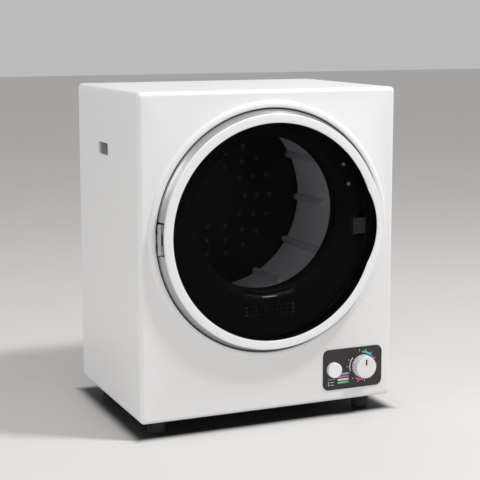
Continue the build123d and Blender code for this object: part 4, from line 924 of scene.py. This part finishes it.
def build_ring(sizes):
    """The white ring; its section is given as (across, y) from the opening outward."""
    front, back = RING_LOW.y, RING_HIGH.y
    round_out, round_in = sizes.ring_round, 1.3 * MM
    width = RING_R - WINDOW_R
    inner_edge = front + 1.6 * MM
    rows = [(0.0, back), (0.0, inner_edge)]
    for step in range(1, 5):
        turn = pi / 2 * step / 4
        rows.append((round_in * (1 - cos(turn)), inner_edge - round_in * sin(turn)))
    rows += [(4.0 * MM, front + 0.08 * MM), (7.0 * MM, front),
             (width - round_out - 3 * MM, front + 0.1 * MM)]
    for step in range(9):
        turn = pi / 2 * step / 8
        rows.append((width - round_out * (1 - sin(turn)),
                     front + 0.3 * MM + round_out * (1 - cos(turn))))
    rows += [(width, back - 0.3 * MM), (width - 0.4 * MM, back)]
    opening_half_angle, rim_half_angle = 20, 26
    loops = []
    for across, y in rows:
        loop = []
        for angle in spoke_angles(360):
            inner = swell(WINDOW_R, GRIP_REACH, opening_half_angle, angle)
            outer = swell(RING_R, RING_SWELL, rim_half_angle, angle)
            radius = inner + (outer - inner) * across / width
            loop.append((radius * cos(angle), y, DOOR_Z + radius * sin(angle)))
        loops.append(loop)
    ring = loft("door_front_ring", loops)
    return place_piece(ring, "door", gloss_white(), ["door_ring"], 50)


def build_band():
    """The silver band behind the ring: a sleeve that flares to its lip, open at the hinge."""
    y0, y1 = BAND_LOW.y, BAND_HIGH.y
    wall, lip = 2.5 * MM, 1.5 * MM
    inside = BAND_R - wall
    hinge_half = 28.2 * MM
    gap = degrees(asin(hinge_half / inside))
    flare = BAND_EDGE_R - BAND_R
    rows = [(inside, y1 - 0.3 * MM), (inside, y0 + 0.4 * MM), (inside + 0.4 * MM, y0),
            (BAND_R - 0.9 * MM, y0), (BAND_R - 0.3 * MM, y0 + 0.25 * MM)]
    flare_y = y0 + 0.9 * MM
    for step in range(9):
        along = step / 8
        bow = 0.5 * MM * sin(pi * along)
        rows.append((BAND_R + flare * along - bow, flare_y + (y1 - lip - flare_y) * along))
    rows += [(BAND_EDGE_R, y1 - 0.5 * MM), (BAND_EDGE_R - 0.5 * MM, y1), (BAND_EDGE_R - wall, y1),
             (BAND_R - 0.5 * MM, y0 + 3.4 * MM), (BAND_R - 0.8 * MM, y1)]
    band = turned("door_silver_band", rows, 0, DOOR_Z, 300, arc=(-180 + gap, 180 - gap))
    return place_piece(band, "door", silver(), ["door_band"], 45)


def build_window():
    """The smoked disc, with a small bevel round its front."""
    y0, y1 = WINDOW_LOW.y, WINDOW_HIGH.y
    radius = (WINDOW_HIGH.z - WINDOW_LOW.z) / 2
    bevel = 0.6 * MM
    profile = [(0, y0), (radius * 0.5, y0), (radius - bevel, y0), (radius, y0 + bevel),
               (radius, y1), (0, y1)]
    pane = turned("smoked_pane", profile, 0, DOOR_Z, 240, closed=False)
    return place_piece(pane, "door", smoked(), ["door_window"], 30)


# ================================================================ drum
def lifter_piece(name, angle, y0, y1, half, tall, round_front):
    """A rounded rib along the drum; its front end is round in plan."""
    rows, columns = 40, 14
    round_rear = 0.6
    sunk = 0.3 * MM
    loops = []
    for row in range(rows + 1):
        along = row / rows
        y = y0 + (y1 - y0) * (1 - cos(pi * along)) / 2
        front = min(1.0, max(0.0, (y - y0) / (half * round_front)))
        rear = min(1.0, max(0.0, (y1 - y) / (half * round_rear)))
        width = half * sqrt(max(1 - (1 - front) ** 2, 0.0)) * sqrt(max(1 - (1 - rear) ** 2, 0.0))
        width = max(width, 0.05 * MM)
        rise = tall * min(width / half, 1.0) ** 0.55
        loop = []
        for column in range(columns + 1):
            side = -1 + 2 * column / columns
            across = side * width
            depth = DRUM_R - sunk - rise * (1 - abs(side) ** 2.6) ** 0.62
            loop.append((sqrt(max(depth ** 2 - across ** 2, 0.0)), y, across))
        loops.append(loop)
    turn = Matrix.Translation((0, 0, DRUM_Z)) @ Matrix.Rotation(-angle, 4, "Y")
    loops = [[tuple(turn @ Vector(p)) for p in loop] for loop in loops]
    return loft(name, loops, around=True, closed=False, caps=True)


def build_lifters():
    """Six long and six short ribs, in turn round the drum."""
    half, tall = 7 * MM, 9 * MM
    phase = radians(-2)
    pitch = radians(60)
    for node, turn, ends in (("long_lifters", 0.5, 1.2), ("short_lifters", 0.0, 1.0)):
        low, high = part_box(node)
        ribs = [lifter_piece("rib", phase + pitch * (step + turn), low.y, high.y, half, tall, ends)
                for step in range(6)]
        place_piece(join(f"drum_{node}", ribs), "drum", lifter_plastic(), [node], 50)


# ================================================================ controls
def build_plate():
    """The printed plate and the thin frame round it."""
    middle, size = middle_and_size("control_plate")
    w, h = size.x, size.z

    def at(u, v, y):
        return (middle.x + u, y, middle.z + v)

    front, back = PLATE_LOW.y, PLATE_HIGH.y
    plate = rectangle_stack("control_overlay",
                            [(w, h, 10 * MM, back), (w, h, 10 * MM, front + 0.2 * MM),
                             (w - 0.4 * MM, h - 0.4 * MM, 9.8 * MM, front)], at)
    past = 10 * MM
    cut(plate, [drill("hole", x, z, r, front - past, back + past)
                for x, z, r in ((BUTTON_X, BUTTON_Z, BUTTON_R + BUTTON_ROOM),
                                (KNOB_X, KNOB_Z, SHAFT_HOLE_R))])
    place_piece(plate, "cabinet", overlay(), ["control_plate"])

    w, h = BEZEL_HIGH.x - BEZEL_LOW.x, BEZEL_HIGH.z - BEZEL_LOW.z
    front, back = BEZEL_LOW.y, BEZEL_HIGH.y
    rim = 2 * MM
    in_w, in_h = w - 2 * rim, h - 2 * rim
    rows = [(w, h, 12 * MM, back), (w, h, 12 * MM, front + 0.8 * MM),
            (w - 0.4 * MM, h - 0.4 * MM, 11.8 * MM, front + 0.3 * MM),
            (w - 1.2 * MM, h - 1.2 * MM, 11.4 * MM, front),
            (in_w + 0.7 * MM, in_h + 0.7 * MM, 10.4 * MM, front),
            (in_w + 0.1 * MM, in_h + 0.1 * MM, 10 * MM, front + 0.3 * MM),
            (in_w + 0.1 * MM, in_h + 0.1 * MM, 10 * MM, back)]
    bezel = rectangle_stack("control_frame", rows, at, caps=False, closed=True)
    return place_piece(bezel, "cabinet", overlay(), ["control_bezel"], 45)


MARK_FRONT = PLATE_LOW.y - 0.08 * MM
MARK_BACK = PLATE_LOW.y + 0.02 * MM


def bar_mark(x, z, length, tall, angle=0.0):
    """A flat printed bar centred at (x, z)."""
    corners = []
    for y in (MARK_FRONT, MARK_BACK):
        for u, v in ((-1, -1), (1, -1), (1, 1), (-1, 1)):
            du, dv = u * length / 2, v * tall / 2
            corners.append((x + du * cos(angle) - dv * sin(angle), y,
                            z + du * sin(angle) + dv * cos(angle)))
    faces = [(0, 1, 2, 3), (7, 6, 5, 4), (0, 4, 5, 1), (1, 5, 6, 2), (2, 6, 7, 3), (3, 7, 4, 0)]
    return new_piece("mark", corners, faces)


def arc_mark(radius, width, start, stop):
    """A printed arc round the knob, between two angles in degrees."""
    inner, outer = radius - width / 2, radius + width / 2
    profile = [(inner, MARK_FRONT), (outer, MARK_FRONT), (outer, MARK_BACK), (inner, MARK_BACK)]
    return turned("mark", profile, KNOB_X, KNOB_Z, 24, arc=(start, stop))


def build_marks():
    """Plain bars, dashes and arcs in four inks; none of them spells anything."""
    marks = {"white": [], "cyan": [], "magenta": [], "green": []}
    legend_x, legend_w, legend_t = 145.2 * MM, 22.5 * MM, 3.4 * MM
    for ink_name, height in (("white", 39.6), ("cyan", 50.2), ("magenta", 44.9), ("green", 34.3)):
        marks[ink_name].append(bar_mark(legend_x, LOW + height * MM, legend_w, legend_t))
    dash_r, dash_count, first_dash, dash_pitch = KNOB_R + 8 * MM, 13, 100, 25.5
    for step in range(dash_count):
        angle = radians(first_dash - dash_pitch * step)
        marks["white"].append(bar_mark(KNOB_X + dash_r * cos(angle), KNOB_Z + dash_r * sin(angle),
                                       3.4 * MM, 1.1 * MM, angle))
    for ink_name, out, width, start, stop in (
            ("cyan", 4.2, 3.4, 42, 88), ("magenta", 4.2, 3.0, 14, 40), ("green", 4.2, 3.0, -18, 10),
            ("white", 3.4, 1.8, 138, 200), ("magenta", 4.2, 3.4, -118, -82)):
        marks[ink_name].append(arc_mark(KNOB_R + out * MM, width * MM, start, stop))
    button_foot = BUTTON_Z - BUTTON_R
    for across, down, length, tall in ((-9, 4.6, 3.4, 0.9), (-4, 4.6, 3.4, 0.9), (1, 4.6, 3.4, 0.9),
                                       (-10, 12.5, 1.1, 9.0), (-3, 10.0, 9.0, 1.0),
                                       (-3, 15.0, 9.0, 1.0)):
        marks["white"].append(bar_mark(BUTTON_X + across * MM, button_foot - down * MM,
                                       length * MM, tall * MM))
    colours = bpy.context.scene.dryer_colours
    for ink_name, pieces in marks.items():
        name = f"marks_{ink_name}"
        colour = getattr(colours, f"mark_{ink_name}")
        place_piece(join(name, pieces), "cabinet", ink(name + "_ink", colour))


def build_knob(sizes):
    """The fluted timer knob on its shaft, with a black pointer let into its face."""
    face, base = KNOB_LOW.y, KNOB_HIGH.y
    flutes = sizes.knob_flutes
    depth = 1.9 * MM
    face_r = KNOB_R - 2.4 * MM
    flute_start, flute_run = face + 0.8 * MM, 1.0 * MM

    def fluted(radius, y, angle):
        if radius < face_r:
            return radius
        share = max(0.0, min(1.0, (y - flute_start) / flute_run))
        wave = (0.5 - 0.5 * cos(flutes * angle)) ** 0.6
        return radius - depth * share * wave

    inside, hub, bore = KNOB_R - 2.5 * MM, 5.5 * MM, 3.05 * MM
    profile = [(0, face + 0.35 * MM), (KNOB_R * 0.55, face + 0.2 * MM), (KNOB_R - 3.4 * MM, face),
               (KNOB_R - 2.5 * MM, face + 0.1 * MM), (KNOB_R - 1.7 * MM, face + 0.45 * MM),
               (KNOB_R - 1.2 * MM, face + 1.1 * MM), (KNOB_R - 0.9 * MM, face + 2.2 * MM),
               (KNOB_R - 0.7 * MM, face + 4 * MM), (KNOB_R - 0.2 * MM, base - 4 * MM),
               (KNOB_R, base - 1.4 * MM), (KNOB_R, base), (inside, base), (inside, face + 3 * MM),
               (hub, face + 3 * MM), (hub, base), (bore, base), (bore, face + 3.2 * MM),
               (0, face + 3.2 * MM)]
    knob = turned("timer_dial", profile, KNOB_X, KNOB_Z, flutes * 12, closed=False, shape=fluted)
    place_piece(knob, "timer", satin_white(), ["timer_knob"], 40)

    low = KNOB_Z + 4.5 * MM
    high = KNOB_Z + KNOB_R - 6.0 * MM
    outline = rectangle_outline(2.8 * MM, high - low, 0.8 * MM)
    loops = [[(KNOB_X + u, y, (low + high) / 2 + v) for u, v in outline]
             for y in (face + 0.6 * MM, face)]
    pointer = loft("dial_pointer", loops, closed=False, caps=True)
    place_piece(pointer, "timer", deep_black())


def build_button():
    """The mode button: a dished cap on a narrower stem."""
    face = BUTTON_LOW.y
    back = FACE_Y - 0.5 * MM
    stem = 4 * MM
    profile = rounded([(0, face + 0.5 * MM, 0), (BUTTON_R * 0.6, face + 0.35 * MM, 0),
                       (BUTTON_R - 2.6 * MM, face, 0.6 * MM), (BUTTON_R, face + 0.1 * MM, 1.6 * MM),
                       (BUTTON_R, back, 0), (stem, back, 0), (stem, BUTTON_HIGH.y, 0.4 * MM),
                       (0, BUTTON_HIGH.y, 0)], 5)
    button = turned("mode_key", profile, BUTTON_X, BUTTON_Z, 96, closed=False)
    return place_piece(button, "button", gloss_white(), ["mode_button"], 40)


# ================================================================ stage
def floor_screed(colours):
    """Pale floor with a painted shadow, dark close under the cabinet."""
    paint = Paint("floor_screed", colours.floor, 0.6)
    paint.tint(paint.noise(2.5, 4.0), colours.floor, shade(colours.floor, 0.96))
    # Painted shadow: near black over the cabinet's footprint, fading out from 8 mm inside its edges
    # to 20 mm outside.
    past_side = paint.math("SUBTRACT", paint.math("ABSOLUTE", paint.place("X")), SIDE)
    middle_y, half_y = (BACK_Y + FACE_Y) / 2 + 10 * MM, (BACK_Y - FACE_Y) / 2
    from_middle = paint.math("ABSOLUTE", paint.math("SUBTRACT", paint.place("Y"), middle_y))
    past_end = paint.math("SUBTRACT", from_middle, half_y)
    outside = paint.ramp(paint.math("MAXIMUM", past_side, past_end), -8 * MM, 20 * MM)
    paint.cover(paint.spread(outside, 1.0, 0.0), colours.painted_floor_shadow)
    paint.gloss(paint.noise(12.0, 3.0), 0.5, 0.7)
    return paint.relief(paint.noise(30.0, 5.0), 0.001, 0.1).material


def area_light(name, place, size, power):
    """A square white light aimed at the middle of the cabinet."""
    lamp = bpy.data.lights.new(name, "AREA")
    lamp.shape = "RECTANGLE"
    lamp.size, lamp.size_y = size
    lamp.energy = power
    holder = bpy.data.objects.new(name, lamp)
    holder.location = place
    aim = Vector((0.0, -0.1, 0.33)) - Vector(place)
    holder.rotation_mode = "QUATERNION"
    holder.rotation_quaternion = aim.to_track_quat("-Z", "Y")
    bpy.context.scene.collection.objects.link(holder)


def build_stage():
    """A wide floor, a high key light, two soft fills, an even sky and the camera."""
    scene = bpy.context.scene
    half, rows = 14.0, 8
    strips = [[(x, half * (2 * step / rows - 1), 0.0) for x in (-half, half)]
              for step in range(rows + 1)]
    floor = loft("studio_floor", strips, around=False, closed=False)
    floor.data.materials.append(floor_screed(scene.dryer_colours))

    scene.view_settings.view_transform = "Standard"
    scene.view_settings.look = "None"
    scene.world = bpy.data.worlds.new("studio_air")
    scene.world.use_nodes = True
    sky = scene.world.node_tree.nodes["Background"]
    sky.inputs["Color"].default_value = (1.0, 1.0, 1.0, 1.0)
    sky.inputs["Strength"].default_value = 0.5
    area_light("key_light", (1.02, -0.95, 2.45), (0.3, 0.3), 48)
    area_light("front_fill", (-2.0, -3.4, 1.5), (2.4, 2.0), 8)
    area_light("left_fill", (-2.6, -0.6, 2.1), (1.4, 1.4), 20)

    look_down, turn_right = 8.64, 23.405
    lens = bpy.data.cameras.new("studio_camera")
    lens.sensor_width = 36.0
    lens.lens = 97.16
    lens.shift_y = -0.05
    lens.clip_end = 50.0
    camera = bpy.data.objects.new("studio_camera", lens)
    camera.location = (-0.9425, -2.2178, 0.7200)
    camera.rotation_euler = (radians(90 - look_down), 0.0, radians(-turn_right))
    scene.collection.objects.link(camera)
    scene.camera = camera


# ================================================================ add-on
class DryerSizes(bpy.types.PropertyGroup):
    """Sizes that can change without moving another piece"""
    seam_relief: FloatProperty(name="Seam relief",
                               description="Rounding of the sheet edges at the seam",
                               default=0.5 * MM, min=0.0, unit="LENGTH")
    ring_round: FloatProperty(name="Ring rounding",
                              description="Radius on the outside of the door ring",
                              default=2.2 * MM, min=0.5 * MM, max=5 * MM, unit="LENGTH")
    knob_flutes: IntProperty(name="Knob flutes", description="Grooves round the timer knob",
                             default=30, min=8, max=72)


def colour_property(name, description, default):
    """A colour that shows in the panel, as red, green and blue in linear light."""
    return FloatVectorProperty(name=name, description=description, subtype="COLOR", size=3,
                               min=0.0, max=1.0, default=default)


class DryerColours(bpy.types.PropertyGroup):
    """Colours of the finishes, marks and floor"""
    enamel: colour_property("Enamel", "Cabinet and front panel", (0.83, 0.83, 0.83))
    gloss_white: colour_property("Gloss white", "Door ring, button and frame", (0.86, 0.86, 0.865))
    satin_white: colour_property("Satin white", "Knob, handles and spigot", (0.80, 0.80, 0.795))
    # Painted shade: the grey that stands in for the shade inside the handle pockets.
    handle_pocket_painted_shade: colour_property("Handle pocket shade", "Inside of the side handles", (0.30, 0.30, 0.295))
    silver: colour_property("Silver", "Band round the door", (0.55, 0.56, 0.58))
    black: colour_property("Black", "Inner door and bulkhead", (0.012, 0.012, 0.014))
    smoke: colour_property("Smoke", "Window", (0.001, 0.001, 0.0012))
    drum: colour_property("Drum", "Drum enamel", (0.86, 0.86, 0.92))
    drum_back: colour_property("Drum back", "Pierced back wall of the drum", (0.002, 0.002, 0.0025))
    lifter: colour_property("Lifters", "Ribs in the drum", (0.60, 0.60, 0.65))
    zinc: colour_property("Zinc", "Galvanised sheet", (0.50, 0.52, 0.54))
    steel: colour_property("Steel", "Shafts and screws", (0.48, 0.49, 0.51))
    felt: colour_property("Felt", "Drum seals", (0.34, 0.30, 0.24))
    rubber: colour_property("Rubber", "Feet, belt and gland", (0.012, 0.012, 0.012))
    # Painted shade: the dark grey of the sheet behind the drum, standing in for shade seen through
    # the drum's holes.
    stove_paint: colour_property("Stove paint", "Sheet behind the drum", (0.03, 0.03, 0.032))
    bronze: colour_property("Bronze", "Drum bearing", (0.55, 0.33, 0.13))
    gauze: colour_property("Gauze", "Lint filter screen", (0.62, 0.62, 0.60))
    ceramic: colour_property("Ceramic", "Heater", (0.66, 0.60, 0.50))
    grey: colour_property("Grey", "Ducts and housings", (0.22, 0.23, 0.24))
    overlay: colour_property("Overlay", "Control plate", (0.020, 0.014, 0.013))
    mark_white: colour_property("White marks", "Printed white marks", (0.75, 0.75, 0.75))
    mark_cyan: colour_property("Cyan marks", "Printed cyan marks", (0.10, 0.55, 0.75))
    mark_magenta: colour_property("Magenta marks", "Printed magenta marks", (0.70, 0.12, 0.38))
    mark_green: colour_property("Green marks", "Printed green marks", (0.12, 0.60, 0.32))
    floor: colour_property("Floor", "Floor", (0.72, 0.70, 0.685))
    # Painted shadow: the near black laid on the floor under the cabinet.
    painted_floor_shadow: colour_property("Floor painted shadow", "Floor close under the cabinet", (0.02, 0.018, 0.016))


class DRYER_OT_nodes(bpy.types.Operator):
    """Give every carried-over part its finish"""
    bl_idname = "dryer.nodes"
    bl_label = "Part finishes"

    def execute(self, context):
        paint_nodes()
        return {"FINISHED"}


class DRYER_OT_front_panel(bpy.types.Operator):
    """Build the front panel with the raised collar round the door"""
    bl_idname = "dryer.front_panel"
    bl_label = "Front panel"

    def execute(self, context):
        build_front_panel(context.scene.dryer_sizes)
        return {"FINISHED"}


class DRYER_OT_wrap(bpy.types.Operator):
    """Build the sides and top of the cabinet"""
    bl_idname = "dryer.wrap"
    bl_label = "Cabinet shell"

    def execute(self, context):
        build_wrap(context.scene.dryer_sizes)
        return {"FINISHED"}


class DRYER_OT_handles(bpy.types.Operator):
    """Build the two recessed carrying handles"""
    bl_idname = "dryer.handles"
    bl_label = "Handles"

    def execute(self, context):
        build_handle(-1, "handle_left")
        build_handle(1, "handle_right")
        return {"FINISHED"}


class DRYER_OT_feet(bpy.types.Operator):
    """Build the rubber feet"""
    bl_idname = "dryer.feet"
    bl_label = "Feet"

    def execute(self, context):
        build_feet()
        return {"FINISHED"}


class DRYER_OT_back(bpy.types.Operator):
    """Build the exhaust spigot, the cord gland and the screws"""
    bl_idname = "dryer.back"
    bl_label = "Back fittings"

    def execute(self, context):
        build_spigot()
        build_gland()
        build_screws()
        return {"FINISHED"}


class DRYER_OT_door(bpy.types.Operator):
    """Build the door's ring, band and window"""
    bl_idname = "dryer.door"
    bl_label = "Door"

    def execute(self, context):
        build_ring(context.scene.dryer_sizes)
        build_band()
        build_window()
        return {"FINISHED"}


class DRYER_OT_lifters(bpy.types.Operator):
    """Build the rounded ribs inside the drum"""
    bl_idname = "dryer.lifters"
    bl_label = "Drum lifters"

    def execute(self, context):
        build_lifters()
        return {"FINISHED"}


class DRYER_OT_controls(bpy.types.Operator):
    """Build the control plate, its marks, the knob and the button"""
    bl_idname = "dryer.controls"
    bl_label = "Controls"

    def execute(self, context):
        build_plate()
        build_marks()
        build_knob(context.scene.dryer_sizes)
        build_button()
        return {"FINISHED"}


class DRYER_OT_stage(bpy.types.Operator):
    """Build the floor, lights and camera"""
    bl_idname = "dryer.stage"
    bl_label = "Stage"

    def execute(self, context):
        build_stage()
        return {"FINISHED"}


OPERATORS = (DRYER_OT_nodes, DRYER_OT_front_panel, DRYER_OT_wrap, DRYER_OT_handles, DRYER_OT_feet,
             DRYER_OT_back, DRYER_OT_door, DRYER_OT_lifters, DRYER_OT_controls, DRYER_OT_stage)


class DRYER_PT_panel(bpy.types.Panel):
    """Sizes, colours and the pieces in the order they are built"""
    bl_idname = "DRYER_PT_panel"
    bl_label = "Clothes dryer"
    bl_space_type = "VIEW_3D"
    bl_region_type = "UI"
    bl_category = "Dryer"

    def draw(self, context):
        for group in (context.scene.dryer_sizes, context.scene.dryer_colours):
            box = self.layout.box()
            for name in group.__annotations__:
                box.prop(group, name)
        for operator in OPERATORS:
            self.layout.operator(operator.bl_idname)


CLASSES = (DryerSizes, DryerColours, *OPERATORS, DRYER_PT_panel)


def register():
    for item in CLASSES:
        bpy.utils.register_class(item)
    bpy.types.Scene.dryer_sizes = PointerProperty(type=DryerSizes)
    bpy.types.Scene.dryer_colours = PointerProperty(type=DryerColours)


def unregister():
    del bpy.types.Scene.dryer_colours
    del bpy.types.Scene.dryer_sizes
    for item in reversed(CLASSES):
        bpy.utils.unregister_class(item)


def main():
    """Build everything in order."""
    register()
    bpy.ops.dryer.nodes()
    bpy.ops.dryer.front_panel()
    bpy.ops.dryer.wrap()
    bpy.ops.dryer.handles()
    bpy.ops.dryer.feet()
    bpy.ops.dryer.back()
    bpy.ops.dryer.door()
    bpy.ops.dryer.lifters()
    bpy.ops.dryer.controls()
    bpy.ops.dryer.stage()


if __name__ == "__main__":
    main()
